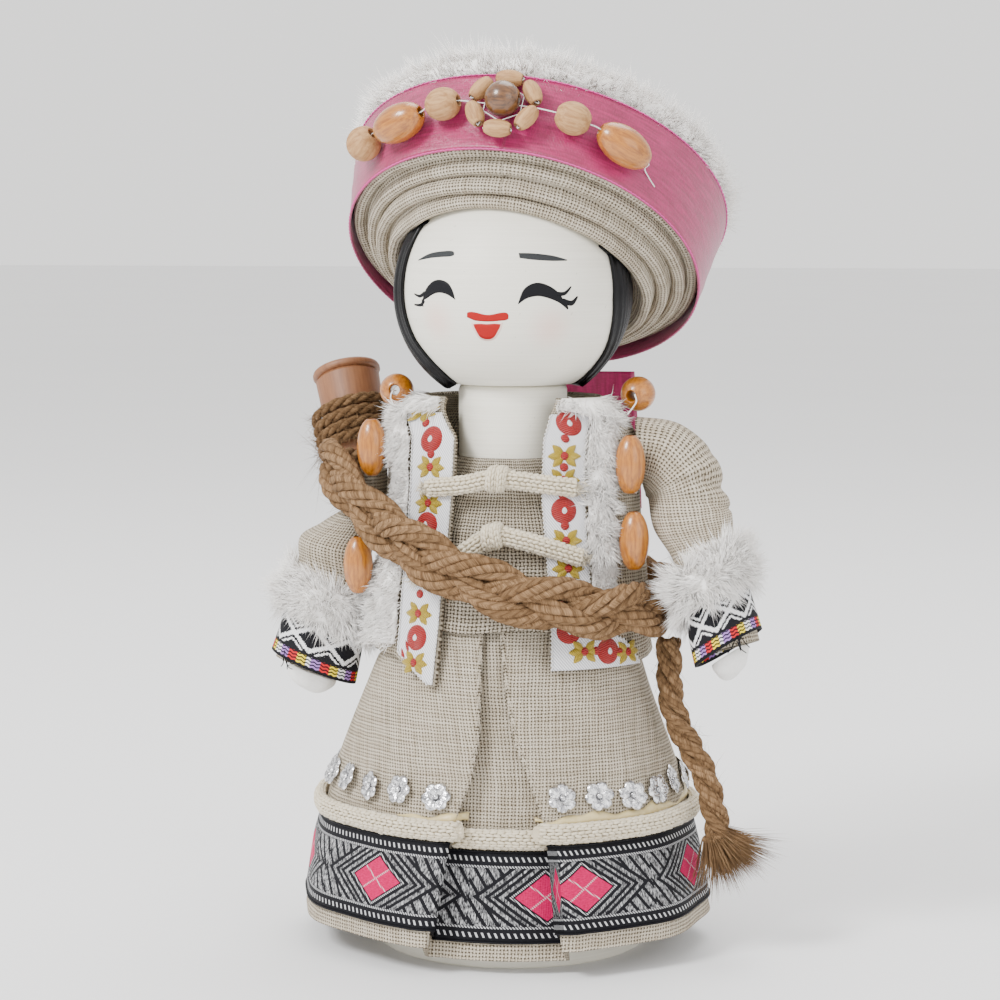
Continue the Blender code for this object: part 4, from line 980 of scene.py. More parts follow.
STUFFING = plain_thread("white stuffing", (0.74, 0.73, 0.70), (0.90, 0.89, 0.87))
RED_STITCH = stitched("red embroidery", (0.16, 0.001, 0.001), (0.38, 0.004, 0.003), 0.62)
GOLD_STITCH = stitched("gold embroidery", (0.20, 0.125, 0.004), (0.55, 0.40, 0.025), 0.52, 0.15, 0.35, 0.9)
WHITE_STITCH = stitched("white embroidery", (0.62, 0.60, 0.60), (0.96, 0.95, 0.95), 0.4)
WHITE_RIBBON = white_ribbon_material()
WOVEN_RIBBON = woven_ribbon_material()
CUFF_BAND = cuff_band_material()
SEQUIN = sequin_material()
TURNED_WOOD = turned_wood_material()
GLUE = glue_material()
FACE_BLACK = plain_thread(
    "black face paint", (0.003, 0.003, 0.004), (0.008, 0.008, 0.011), 0.5, Specular_IOR_Level=0.15
)
BROW_GREY = plain_thread(
    "grey face paint", (0.018, 0.020, 0.022), (0.045, 0.048, 0.05), 0.6, Specular_IOR_Level=0.15
)
FACE_RED = plain_thread(
    "red face paint", (0.30, 0.002, 0.002), (0.40, 0.004, 0.003), 0.5, Specular_IOR_Level=0.25
)
FACE_HALO = plain_thread("pale pink face paint", (0.80, 0.52, 0.46), (0.86, 0.66, 0.58), 0.5)


# Camera, floor and light


def placed(turn, place):
    """The matrix of a turned and placed object."""
    matrix = Matrix(turn.tolist()).to_4x4()
    matrix.translation = [float(c) for c in place]
    return matrix


def make_camera():
    azimuth = math.radians(CAMERA_AZIMUTH)
    right = np.array((math.cos(azimuth), math.sin(azimuth), 0.0))
    back = np.array((math.sin(azimuth), -math.cos(azimuth), 0.0))
    data = bpy.data.cameras.new("camera")
    data.sensor_width = SENSOR
    data.lens = LENS
    data.clip_start = 0.01
    data.clip_end = 50
    camera = bpy.data.objects.new("camera", data)
    bpy.context.scene.collection.objects.link(camera)
    place = back * CAMERA_DISTANCE + UP * CAMERA_HEIGHT
    aim = UP * AIM_HEIGHT + right * AIM_SIDE
    look = unit(aim - place)
    side = unit(np.cross(look, UP))
    over = np.cross(side, look)
    turn = np.stack([side, over, -look], axis=1)
    camera.matrix_world = placed(turn, place)
    bpy.context.scene.camera = camera


def make_light(name, place, target, size, power, colour=(1, 1, 1)):
    data = bpy.data.lights.new(name, "AREA")
    data.energy = power
    data.size = size
    data.color = colour
    lamp = bpy.data.objects.new(name, data)
    bpy.context.scene.collection.objects.link(lamp)
    look = unit(np.array(target, float) - np.array(place, float))
    side = unit(np.cross(look, UP))
    lamp.matrix_world = placed(np.stack([side, np.cross(side, look), -look], axis=1), place)


def make_studio():
    mesh = bpy.data.meshes.new("floor")
    reach = 12.0
    mesh.from_pydata(
        [(-reach, -reach, 0), (reach, -reach, 0), (reach, reach, 0), (-reach, reach, 0)], [], [(0, 1, 2, 3)]
    )
    floor = bpy.data.objects.new("floor", mesh)
    bpy.context.scene.collection.objects.link(floor)
    g = Graph("floor")
    vector, _ = g.place()
    shade = g.noise(vector, 3.0, 2.0)
    mesh.materials.append(g.finish(g.mix(shade, (0.83, 0.83, 0.835), (0.86, 0.86, 0.865)), 0.75))
    world = bpy.data.worlds.new("studio")
    bpy.context.scene.world = world
    world.use_nodes = True
    background = world.node_tree.nodes["Background"]
    background.inputs[0].default_value = (1.0, 0.99, 0.975, 1)
    background.inputs[1].default_value = 1.5
    make_light("key", (-0.75, -1.0, 1.15), (0, 0, 0.14), 0.45, 30.0)
    make_light("fill", (1.1, -0.9, 0.6), (0, 0, 0.13), 0.9, 5.0)
    make_light("top", (0.1, 0.5, 1.3), (0, 0, 0.15), 0.8, 10.0)


make_camera()


# Free tail of the sash: a rope of three strands, wrapped and frayed at its end


def twisted_strands(
    parts, path, reach, strand, turns, number, cords, cord_radius, cord_turns, seed, out=None
):
    """Strands that wind round a path, each a bundle of cords that wind round the strand."""
    random = np.random.default_rng(seed)
    _, out, across = frames_along(path, False, out)
    share = np.linspace(0, 1, len(path))
    for k in range(number):
        t = 2 * math.pi * (turns * share + k / number)
        line = path + (out * np.cos(t)[:, None] + across * np.sin(t)[:, None]) * reach
        _, near, side = frames_along(line)
        for m in range(cords):
            a = 2 * math.pi * (cord_turns * share + m / cords)
            cord = line + (near * np.cos(a)[:, None] + side * np.sin(a)[:, None]) * strand
            tube(parts, cord, cord_radius, 6, tone=random.uniform(0.1, 0.9), seed=random.uniform(0, 60))


def loose_fibres(parts, starts, outward, seed, count, length, radius=0.00006, along=None):
    """Short stray fibres that stand off some points."""
    random = np.random.default_rng(seed)
    pick = random.integers(0, len(starts), count)
    base = starts[pick]
    way = unit(outward[pick] * random.uniform(0.1, 0.9, (count, 1)) + random.normal(size=(count, 3)) * 0.7)
    if along is not None:
        way = unit(way * 0.6 + along[pick] * random.choice((-1.0, 1.0), (count, 1)))
    bend = random.normal(size=(count, 3)) * 0.35
    spikes(
        parts,
        base,
        way,
        bend,
        random.uniform(0.4, 1.0, count) * length,
        random.uniform(0.7, 1.3, count) * radius,
        random.uniform(0.2, 1.0, count),
        (0.0, 0.5),
    )


def make_tail():
    path, _ = even_route(TAIL_ROUTE, 90)
    parts = Parts()
    twisted_strands(parts, path, 0.0021, 0.0011, 2.6, 3, 5, 0.00095, 3.4, 21)
    ahead, out, across = frames_along(path)
    turn = np.linspace(0, 40 * math.pi, len(path))
    outward = out * np.cos(turn)[:, None] + across * np.sin(turn)[:, None]
    tail = parts.piece("rope_tail", JUTE, "jute", "sash_tail")
    fibres = Parts()
    loose_fibres(fibres, path + outward * 0.0030, outward, 22, 420, 0.006, along=ahead)
    end = path[-1]
    way = unit(ahead[-1] * 0.9 + np.array((0.35, 0.0, 0.0)))
    random = np.random.default_rng(23)
    count = 1500
    spread = random.normal(size=(count, 3))
    spread -= way * (spread @ way)[:, None]
    off = spread * 0.00135
    starts = end + off - way * 0.004
    ways = unit(way + spread * 0.24 + np.array((0.10, 0, 0.02)))
    bends = spread * 0.16 + random.normal(size=(count, 3)) * 0.07
    spikes(
        fibres,
        starts,
        ways,
        bends,
        random.uniform(0.009, 0.0185, count),
        random.uniform(0.00009, 0.00017, count),
        random.uniform(0.1, 1.0, count),
        (0.0, 0.5),
    )
    tuft = fibres.piece("rope_tail_fibres", JUTE, "jute")
    wrap = Parts()
    turns = np.linspace(0, 2 * math.pi * 3.2, 80)
    base = np.interp(turns, (0, turns[-1]), (0.0, 0.0035))
    ring = end - way * 0.0032 + way * base[:, None]
    ring = ring + out[-1] * (np.cos(turns) * 0.0037)[:, None]
    ring = ring + across[-1] * (np.sin(turns) * 0.0037)[:, None]
    tube(wrap, ring, 0.00075, 6, tone=0.75, seed=3.0)
    binding = wrap.piece("rope_tail_binding", JUTE, "jute")


make_tail()
make_studio()


# Body, head, face and hair


def make_body():
    profile = [
        (0, 0), (0.0402, 0), (0.0408, 0.0003), (0.0410, 0.0008), (0.0410, 0.0046), (0.0407, 0.0052),
        (0.0395, 0.0058), (0.0350, 0.0080), (0.0300, 0.0450), (0.0260, 0.0850), (0.0220, 0.1220),
        (0.0205, 0.1300), (0.0175, 0.1390), (0.0166, 0.1405), (0.0163, 0.1422),
        (0.0163, NECK_TOP - 0.0015),
        (0.0159, NECK_TOP - 0.0005),
        (0.0151, NECK_TOP),
        (0, NECK_TOP),
    ]
    parts = Parts()
    revolve(parts, profile, 72)
    parts.piece("turned_body", BODY_PAINT, "ivory_paint", "body", sharp=50)


def on_head(longitude, latitude, radius):
    """A point on a ball round the head's centre."""
    a = np.radians(np.asarray(longitude, float))
    b = np.radians(np.asarray(latitude, float))
    way = np.stack([np.sin(a) * np.cos(b), -np.cos(a) * np.cos(b), np.sin(b)], axis=-1)
    return HEAD_CENTRE + way * np.asarray(radius)[..., None]


def make_head():
    start = math.asin((HEAD_UNDERSIDE - HEAD_CENTRE[2]) / HEAD_RADIUS)
    flat = HEAD_RADIUS * math.cos(start)
    profile = [
        (0, HEAD_UNDERSIDE), (flat - 0.0006, HEAD_UNDERSIDE), (flat - 0.0001, HEAD_UNDERSIDE + 0.0002)
    ]
    for i in range(1, 60):
        t = start + (math.pi / 2 - start) * i / 60
        profile.append((HEAD_RADIUS * math.cos(t), HEAD_CENTRE[2] + HEAD_RADIUS * math.sin(t)))
    profile.append((0, HEAD_CENTRE[2] + HEAD_RADIUS))
    parts = Parts()
    revolve(parts, profile, 112)
    parts.piece("painted_head", HEAD_PAINT, "ivory_paint", "head", sharp=60)


def painted_patch(parts, top, low, lift=0.00005, columns=28, rows=6):
    """A patch of paint on the head between two lines of (longitude, latitude)."""
    upper = smooth_route(top, columns)
    lower = smooth_route(low, columns)
    share = np.linspace(0, 1, rows)[:, None, None]
    field = upper[None] * (1 - share) + lower[None] * share
    grid = on_head(field[..., 0], field[..., 1], np.full(field.shape[:2], HEAD_RADIUS + lift))
    coords = np.concatenate([field, np.zeros(field.shape[:2] + (1,))], axis=-1)
    add_cloth(parts, grid, coords, lift + 0.00012, away_from=HEAD_CENTRE)


def brush_line(parts, route, widths, lift=0.00006):
    """A brush stroke along (longitude, latitude) points, its width in degrees at each."""
    line = smooth_route(route, 16)
    wide = np.interp(np.linspace(0, 1, len(line)), np.linspace(0, 1, len(widths)), widths)
    ahead = unit(np.gradient(line, axis=0))
    side = np.stack([-ahead[:, 1], ahead[:, 0]], axis=1)
    painted_patch(parts, line + side * wide[:, None] / 2, line - side * wide[:, None] / 2, lift, 16, 3)


def make_face():
    brows = Parts()
    painted_patch(
        brows,
        [(-47.0, 16.0), (-38.2, 19.2), (-30.2, 20.5), (-22.4, 20.9), (-20.2, 20.0)],
        [(-46.8, 15.6), (-37.3, 16.9), (-29.2, 17.6), (-22.4, 18.0), (-20.0, 18.7)],
    )
    painted_patch(
        brows,
        [(15.4, 19.9), (23.3, 19.7), (33.4, 18.5), (41.5, 16.4)],
        [(15.9, 17.3), (23.1, 16.4), (33.1, 15.8), (41.4, 15.9)],
    )
    brows.piece("painted_brows", BROW_GREY, "black_hair")
    eyes = Parts()
    painted_patch(
        eyes,
        [(-39.9, -4.4), (-36.8, 1.3), (-32.2, 5.1), (-27.1, 6.2), (-21.9, 4.7), (-18.9, 1.1), (-17.4, -3.4)],
        [
            (-39.6, -4.6), (-35.4, -2.9), (-30.9, -0.9), (-26.5, -0.2), (-22.4, -1.0), (-19.6, -2.3),
            (-17.4, -3.6),
        ],
    )
    painted_patch(
        eyes,
        [
            (14.9, -5.3), (17.4, 1.2), (21.1, 4.2), (25.4, 5.0), (30.0, 3.7), (34.6, 0.9), (37.9, -2.9),
            (40.4, -7.6),
        ],
        [
            (15.2, -5.5), (18.7, -3.0), (22.0, -1.9), (25.6, -1.6), (29.7, -2.5), (33.7, -3.9), (36.9, -5.5),
            (39.9, -7.7),
        ],
    )
    for route, widths in (
        (((-37.6, -0.6), (-42.1, -2.2), (-47.2, -1.2)), (2.2, 1.5, 0.6)),
        (((-38.4, -4.2), (-41.5, -6.6), (-47.9, -6.6)), (2.0, 1.6, 0.7)),
        (((-39.6, -3.8), (-39.9, -7.4)), (1.7, 0.7)),
        (((34.8, -0.6), (39.0, -0.3), (42.6, 3.0)), (2.2, 1.8, 0.6)),
        (((37.8, -4.0), (43.0, -5.2), (46.4, -1.9)), (2.6, 2.6, 0.7)),
        (((39.2, -5.0), (41.0, -8.2)), (2.2, 0.8)),
    ):
        brush_line(eyes, route, widths)
    eyes.piece("painted_eyes", FACE_BLACK, "black_hair")
    halo = Parts()
    painted_patch(
        halo,
        [(-9.3, -14.9), (-4.6, -14.6), (-0.9, -14.8), (2.8, -14.5), (7.3, -14.9)],
        [(-9.0, -17.5), (-6.0, -23.0), (-1.7, -24.6), (2.9, -23.2), (6.8, -17.5)],
        0.00003,
    )
    halo.piece("painted_lip_edge", FACE_HALO, "ivory_paint")
    lips = Parts()
    painted_patch(
        lips,
        [(-11.2, -9.9), (-9.2, -9.4), (-6.4, -9.7), (-0.1, -10.9), (6.7, -9.7), (9.5, -9.9), (10.3, -11.2)],
        [
            (-11.4, -12.2), (-9.2, -13.1), (-6.7, -13.9), (-0.3, -14.3), (6.6, -13.8), (9.0, -13.5),
            (10.2, -12.8),
        ],
    )
    painted_patch(
        lips,
        [(-8.3, -15.7), (-4.6, -15.4), (-0.9, -15.6), (2.8, -15.3), (6.2, -15.6)],
        [(-7.9, -17.4), (-5.5, -22.3), (-1.7, -23.7), (2.3, -22.5), (5.7, -17.3)],
    )
    lips.piece("painted_lips", FACE_RED, "ivory_paint")


def hat_axes():
    """The hat's axis, its front direction and its side direction (towards +X)."""
    t = math.radians(HAT_TILT)
    r = math.radians(HAT_ROLL_ANGLE)
    normal = unit((math.sin(r) * math.cos(t), math.sin(t), math.cos(t) * math.cos(r)))
    front = unit(np.array((0, -1.0, 0)) + normal[1] * normal)
    return normal, front, np.cross(normal, front)


HAT_NORMAL, HAT_FRONT, HAT_SIDE = hat_axes()


def on_hat(angle, radius, height):
    t = np.radians(np.asarray(angle, float))[..., None]
    radius = np.asarray(radius, float)[..., None]
    height = np.asarray(height, float)[..., None]
    return HAT_CENTRE + (HAT_FRONT * np.cos(t) + HAT_SIDE * np.sin(t)) * radius + HAT_NORMAL * height


def hat_wall(height):
    """Outside radius of the linen roll at a height."""
    return HAT_RADIUS + HAT_FLARE * np.asarray(height) / HAT_HEIGHT


def make_hair():
    """A combed shell with fine ridges, from the hat down to the nape."""
    columns = 300
    rows = 28
    low = -54.0
    edge_left = np.array(((-54, 315.5), (-44, 312.5), (-34, 307.5), (-24, 301.5), (-10, 299.5), (60, 299.5)))
    edge_right = np.array(((-54, 86.0), (-44, 84.5), (-33, 83.0), (-19, 77.0), (-4, 73.0), (60, 72.0)))
    lats = np.linspace(low, 58, rows)
    first = np.interp(lats, edge_right[:, 0], edge_right[:, 1])
    last = np.interp(lats, edge_left[:, 0], edge_left[:, 1])
    share = np.linspace(0, 1, columns)
    longitudes = first[:, None] + (last - first)[:, None] * share[None, :]
    latitudes = np.repeat(lats[:, None], columns, axis=1)
    ridge = np.abs(np.sin(share * 190 + 1.4 * np.sin(share * 31)))[None, :]
    edge = smooth_step(np.minimum(share, 1 - share) * 30)[None, :]
    radius = HEAD_RADIUS + 0.0010 + edge * (0.0010 + 0.00045 * ridge)
    radius = radius + 0.00025 * ripple(5, longitudes * 0.1, latitudes * 0.05)
    grid = on_head(longitudes, latitudes, radius)
    lower = -(HAT_LAYERS - 1) * HAT_LAYER_DROP + 0.0012
    over = (grid - HAT_CENTRE) @ HAT_NORMAL - lower
    grid = grid - HAT_NORMAL * np.clip(over, 0, None)[..., None]
    parts = Parts()
    coords = np.stack([longitudes * 0.6, latitudes * 0.6, np.zeros_like(latitudes)], axis=-1)
    add_cloth(parts, grid, coords, 0.0009, away_from=HEAD_CENTRE)
    parts.piece("combed_hair", HAIR, "black_hair", "hair")


make_body()
make_head()
make_face()
make_hair()


# Hat


def make_hat_roll():
    """Rolled linen layers below, each with its own rounded fold, and a flat crown above."""
    columns = 220
    angles = np.linspace(0, 360, columns + 1)
    turn = np.radians(angles)
    profile = []
    for i in range(HAT_LAYERS):
        outer = HAT_RADIUS - i * HAT_LAYER_WIDTH
        low = -i * HAT_LAYER_DROP
        for inward, rise in (
            (0.0002, 0.0034), (-0.0001, 0.0020), (0.0001, 0.0010), (0.0006, 0.0003), (0.0014, -0.0001),
            (0.0023, -0.0001), (0.0031, 0.0003), (0.0037, 0.0011), (0.0040, 0.0020),
        ):
            profile.append((outer - inward, low + rise, i))
    bottom = profile[-1][0]
    for inward in (0.004, 0.010, 0.020):
        profile.append(
            (bottom - inward, -(HAT_LAYERS - 1) * HAT_LAYER_DROP + 0.0035 + inward * 0.4, HAT_LAYERS)
        )
    rows = []
    for radius, height, layer in profile:
        sway = 0.0007 * ripple(40 + int(layer), np.cos(turn) * 1.6, np.sin(turn) * 1.6)
        drop = 0.0006 * ripple(60 + int(layer), np.cos(turn) * 1.5, np.sin(turn) * 1.5)
        fine = 0.00015 * ripple(70 + int(layer), angles * 0.14)
        if layer == 0:
            sway = sway * 0.2
        rows.append(on_hat(angles, radius + sway + fine, height + drop))
    lower = np.array(rows)
    parts = Parts()
    add_cloth(parts, lower, arc_coords(lower), 0.0006, wrap=True, away_from=HAT_CENTRE + HAT_NORMAL * 0.02)
    crown = []
    for radius, height in (
        (HAT_RADIUS - 0.0004, 0.0016),
        (hat_wall(0.012) - 0.0004, 0.012),
        (hat_wall(0.023) - 0.0004, 0.0232),
        (hat_wall(0.024) - 0.0014, 0.0240),
        (0.0480, 0.0236), (0.0400, 0.0228), (0.0300, 0.0236), (0.0200, 0.0244), (0.0100, 0.0248),
        (0.0010, 0.0250),
    ):
        crease = 0.0006 * ripple(80, np.cos(turn) * radius * 90, np.sin(turn) * radius * 90)
        crown.append(on_hat(angles, np.full(columns + 1, radius), height + crease * (radius < 0.05)))
    upper = smooth_route(np.array(crown), 24)
    flat = np.zeros(upper.shape)
    local = upper - HAT_CENTRE
    flat[..., 0] = local @ HAT_SIDE * MM
    flat[..., 1] = local @ HAT_FRONT * MM
    add_cloth(parts, upper, flat, 0.0006, wrap=True, away_from=HAT_CENTRE)
    roll = parts.piece("rolled_linen", LINEN, "linen", "hat_roll")


def make_hat_ribbon():
    """A pink satin band with creases and stitched edges, loose below the roll at the back."""
    columns = 300
    rows = 18
    angles = np.linspace(0, 360, columns + 1)
    low = -0.0002 - HAT_RIBBON_DROP * (1 - np.cos(np.radians(angles))) / 2
    share = np.linspace(0, 1, rows)[:, None]
    heights = low[None, :] + (HAT_HEIGHT - low)[None, :] * share
    turn = np.radians(angles)[None, :]
    around = np.cos(turn) * 9, np.sin(turn) * 9
    crease = 0.00022 * ripple(91, around[0] + heights * 300, around[1] + heights * 260, heights * 160)
    crease += 0.00028 * ripple(92, np.cos(turn) * 4, np.sin(turn) * 4, heights * 90)
    radius = hat_wall(heights) + 0.0011 + crease * np.sin(np.pi * share) ** 0.5
    grid = on_hat(np.repeat(angles[None, :], rows, axis=0), radius, heights)
    parts = Parts()
    add_cloth(parts, grid, arc_coords(grid), 0.0004, wrap=True, away_from=HAT_CENTRE)
    ribbon = parts.piece("pink_hat_ribbon", PINK, "pink_satin", "hat_ribbon")
    edges = Parts()
    fine = np.linspace(0, 360, 601)
    for edge in (0, 1):
        low_edge = np.interp(fine, angles, low)
        height = low_edge if edge == 0 else np.full(fine.shape, HAT_HEIGHT)
        wave = 0.00012 * np.sin(np.arange(len(fine)) * math.pi / 1.5)
        line = on_hat(fine, hat_wall(height) + 0.0012 + wave, height + (0.0003 if edge == 0 else -0.0003))
        tube(edges, line[:-1], 0.00022, 4, closed=True, seed=edge * 9.0)
    edges.piece("pink_ribbon_edges", PINK_EDGE, "pink_satin")


def make_hat_tail():
    """The ribbon's end, hanging in a soft curve behind the right side."""
    width = 0.025
    length = 0.044
    top = on_hat(161.0, HAT_RADIUS + 0.0022, -HAT_RIBBON_DROP - 0.0022)
    across = unit((0.99, 0.10, 0.0))
    out = -np.cross(across, UP)
    share = np.linspace(0, 1, 30)[:, None]
    side = np.linspace(-1, 1, 16)[None, :]
    sway = 0.0018 * np.sin(math.pi * share) + 0.0005 * np.sin(side * 3 + share * 4)
    grid = (
        top
        + across * (side * width / 2)[..., None]
        + np.array((0.002, 0.003, -length)) * share[..., None]
        + np.array((0, 1.0, 0)) * sway[..., None]
        + out * 0.0005
    )
    parts = Parts()
    coords = arc_coords(grid)[..., [1, 0, 2]]
    add_cloth(parts, grid, coords, 0.0004, away_from=top - out)
    tail = parts.piece("pink_ribbon_tail", PINK, "pink_satin", "hat_ribbon_tail")


def fur_field(parts, roots, normals, flow, seed, length, clump=0.0035, spread=0.55):
    """Fur on some points: blades that lean together in small tufts."""
    random = np.random.default_rng(seed)
    cells = np.floor(roots / clump + random.uniform(0, 1, 3)).astype(int)
    _, tuft = np.unique(cells, axis=0, return_inverse=True)
    tuft = tuft.ravel()
    lean = random.normal(size=(tuft.max() + 1, 3))[tuft]
    tuft_length = random.uniform(0.75, 1.2, tuft.max() + 1)[tuft]
    count = len(roots)
    ways = unit(normals + flow + lean * spread * 0.5 + random.normal(size=(count, 3)) * spread * 0.42)
    inward = np.sum(ways * normals, axis=1)
    ways = unit(ways + normals * np.clip(0.15 - inward, 0, None)[:, None])
    bends = flow * 0.25 + lean * 0.14 + random.normal(size=(count, 3)) * 0.12
    lengths = length * tuft_length * random.uniform(0.6, 1.15, count)
    tones = np.clip(
        random.uniform(0.3, 1.0, count) + random.uniform(-0.25, 0.15, tuft.max() + 1)[tuft], 0, 1
    )
    spikes(parts, roots, ways, bends, lengths, random.uniform(0.7, 1.3, count) * FUR_BLADE_RADIUS, tones)


def make_hat_fur():
    """A ring of fur on the hat's upper edge, combed up and outwards."""
    middle = HAT_HEIGHT + 0.0058 + 2 * GAP
    radius = float(hat_wall(HAT_HEIGHT)) - 0.0048
    parts = Parts()
    columns = 150
    sides = 12
    angles = np.linspace(0, 360, columns, endpoint=False)
    turn = 2 * math.pi * np.arange(sides) / sides
    lump = 1 + 0.10 * ripple(
        31,
        np.cos(np.radians(angles))[:, None] * 14,
        np.sin(np.radians(angles))[:, None] * 14,
        np.cos(turn)[None, :] * 2,
    )
    ring = on_hat(
        np.repeat(angles[:, None], sides, axis=1),
        radius + 0.0046 * np.cos(turn)[None, :] * lump,
        middle - 0.0008 + 0.0041 * np.sin(turn)[None, :] * lump,
    )
    parts.add(ring, grid_quads(columns, sides, True, True), None, 0.75)
    random = np.random.default_rng(33)
    count = HAT_FUR_BLADES
    a = random.uniform(0, 360, count)
    t = random.uniform(-0.35 * math.pi, 1.12 * math.pi, count)
    roots = on_hat(a, radius + 0.0043 * np.cos(t), middle - 0.0008 + 0.0038 * np.sin(t))
    core = on_hat(a, np.full(count, radius), np.full(count, middle - 0.0008))
    normals = unit(roots - core)
    away = unit(on_hat(a, np.full(count, 1.0), np.zeros(count)) - HAT_CENTRE)
    flow = HAT_NORMAL * 0.35 + away * 0.20
    fur_field(parts, roots, normals, flow, 34, HAT_FUR_PILE)
    parts.piece("hat_fur_ring", FUR, "white_fur", "hat_fur")


make_hat_roll()
make_hat_ribbon()
make_hat_tail()
make_hat_fur()


# Beads and their threads


def bead_profile(size, steps=22):
    """A rounded bead, with softened rims round its hole."""
    length, width, hole = size
    ends = math.acos(min(1.0, (hole + 0.0012) / width))
    profile = []
    for i in range(steps + 1):
        t = -ends + 2 * ends * i / steps
        profile.append((width / 2 * math.cos(t), length / 2 * math.sin(t) / math.sin(ends)))
    rim = profile[-1][0]
    half = length / 2
    profile += [(rim - 0.0003, half + 0.0001), (hole / 2 + 0.0002, half - 0.0001), (hole / 2, half - 0.0005)]
    profile += [
        (hole / 2, -half + 0.0005), (hole / 2 + 0.0002, -half + 0.0001), (rim - 0.0003, -half - 0.0001)
    ]
    return profile + [profile[0]]


def axes_to(axis):
    """Rows that carry a turned piece's own X, Y and Z into the doll's frame."""
    axis = unit(axis)
    angle_axis = np.cross(UP, axis)
    s = np.linalg.norm(angle_axis)
    c = float(axis[2])
    if s < 1e-9:
        return np.eye(3)
    k = angle_axis / s
    cross = np.array(((0, -k[2], k[1]), (k[2], 0, -k[0]), (-k[1], k[0], 0)))
    turn = np.eye(3) + s * cross + (1 - c) * cross @ cross
    return turn.T


def make_bead(name, size, place, axis, mat, slot, node, seed):
    parts = Parts()
    segments = 40
    profile = bead_profile(size)
    axes = axes_to(axis)
    revolve(parts, profile, segments, place, axes)
    limit = (len(profile) - 1) * segments
    parts.points[0] = parts.points[0][:limit]
    parts.coords[0] = parts.coords[0][:limit]
    parts.tones[0] = np.full(limit, (seed * 0.37) % 1.0)
    parts.faces = [tuple(k % limit for k in face) for face in parts.faces]
    return parts.piece(name, mat, slot, node)


HAT_BEADS = (
    ("round_left", ROUND_BEAD, -48.4, 0.0073, 20, "pale"),
    ("oval_left", OVAL_BEAD, -32.6, 0.0080, 10, "amber"),
    ("barrel_left", BARREL_BEAD, -18.7, 0.0117, 6, "pale"),
    ("barrel_right", BARREL_BEAD, 18.3, 0.0109, -4, "pale"),
    ("oval_right", OVAL_BEAD, 33.7, 0.0080, -12, "amber"),
)


def hat_bead_frame(size, angle, height, slope):
    t = math.radians(angle)
    along = HAT_SIDE * math.cos(t) - HAT_FRONT * math.sin(t)
    s = math.radians(slope)
    axis = unit(along * math.cos(s) + HAT_NORMAL * math.sin(s))
    out = hat_wall(height) + RIBBON + 2 * GAP + size[1] / 2
    return on_hat(angle, out, height), axis


def make_hat_beads():
    finish = {"pale": (PALE, "pale_wood"), "amber": (AMBER, "amber_wood")}
    stops = [
        on_hat(-76.6, hat_wall(0.0177) + 0.0014, 0.0177), on_hat(-60.0, hat_wall(0.010) + 0.0022, 0.0105)
    ]
    for number, (name, size, angle, height, slope, wood) in enumerate(HAT_BEADS):
        place, axis = hat_bead_frame(size, angle, height, slope)
        mat, slot = finish[wood]
        make_bead(f"bead_{name}", size, place, axis, mat, slot, f"hat_bead_{name}", number + 1)
        stops += [place - axis * size[0] / 2, place, place + axis * size[0] / 2]
        if name == "barrel_left":
            for side in (-7.5, 5.0):
                stops.append(on_hat(side, hat_wall(0.012) + 0.0050, 0.0120))
    stops += [
        on_hat(44.0, hat_wall(0.006) + 0.0022, 0.0075), on_hat(49.5, hat_wall(0.0055) + 0.0012, 0.0052)
    ]
    parts = Parts()
    tube(parts, smooth_route(stops, 260), 0.00019, 6)
    angle, height = -1.3, 0.0124
    facing = unit(on_hat(angle, 1.0, 0.0) - HAT_CENTRE)
    along = unit(np.cross(HAT_NORMAL, facing))
    surface = float(hat_wall(height)) + RIBBON + 2 * GAP
    centre = on_hat(angle, surface + ROUND_BEAD[1] / 2 + 0.0006, height)
    make_bead("flower_bead", ROUND_BEAD, centre, along, BROWN, "brown_wood", "flower_bead_centre", 9)
    middle = on_hat(angle, surface + PETAL_BEAD[1] / 2 + 0.0010, height)
    ring = []
    for i in range(6):
        t = 2 * math.pi * (i + 0.5) / 6
        spot = middle + 0.0088 * (along * math.cos(t) + HAT_NORMAL * math.sin(t))
        tangent = unit(HAT_NORMAL * math.cos(t) - along * math.sin(t))
        make_bead(
            f"petal_bead_{i + 1}",
            PETAL_BEAD,
            spot,
            tangent,
            PALE,
            "pale_wood",
            f"flower_petal_{i + 1}",
            20 + i,
        )
        ring += [spot + tangent * 0.0039, spot, spot - tangent * 0.0039]
    tube(parts, smooth_route(ring[::-1], 120, closed=True), 0.00017, 5, closed=True)
    parts.piece("hat_bead_thread", THREAD, "cotton_cord")


def make_vest_beads():
    height = 0.1662
    places = {
        "shoulder_bead_left": (ROUND_BEAD, (-0.0358, -0.0010, height), (0.1, -1, 0.1)),
        "shoulder_bead_right": (ROUND_BEAD, (0.0383, -0.0010, height), (-0.3, -1, -0.1)),
        "vest_bead_left_upper": (VEST_BEAD, (-0.0398, -0.0155, 0.1500), (0, 0, 1)),
        "vest_bead_left_lower": (VEST_BEAD, (-0.0432, -0.0190, 0.1150), (0, 0, 1)),
        "vest_bead_right_upper": (VEST_BEAD, (0.0388, -0.0165, 0.1465), (0, 0, 1)),
        "vest_bead_right_lower": (VEST_BEAD, (0.0404, -0.0185, 0.1243), (0, 0, 1)),
    }
    for number, (name, (size, place, axis)) in enumerate(places.items()):
        make_bead(f"turned_{name}", size, place, axis, AMBER, "amber_wood", name, 40 + number)
    parts = Parts()
    for side, x in ((-1, -0.0358), (1, 0.0383)):
        start = np.array((x, -0.0062, height))
        stops = [start + (0, 0.004, 0), start, start + (side * 0.0004, -0.0005, -0.0022)]
        stops.append(np.array((x - side * 0.002, -0.0080, height - 0.0058)))
        tube(parts, smooth_route(stops, 24), 0.00022, 6)
    parts.piece("vest_bead_threads", THREAD, "cotton_cord")


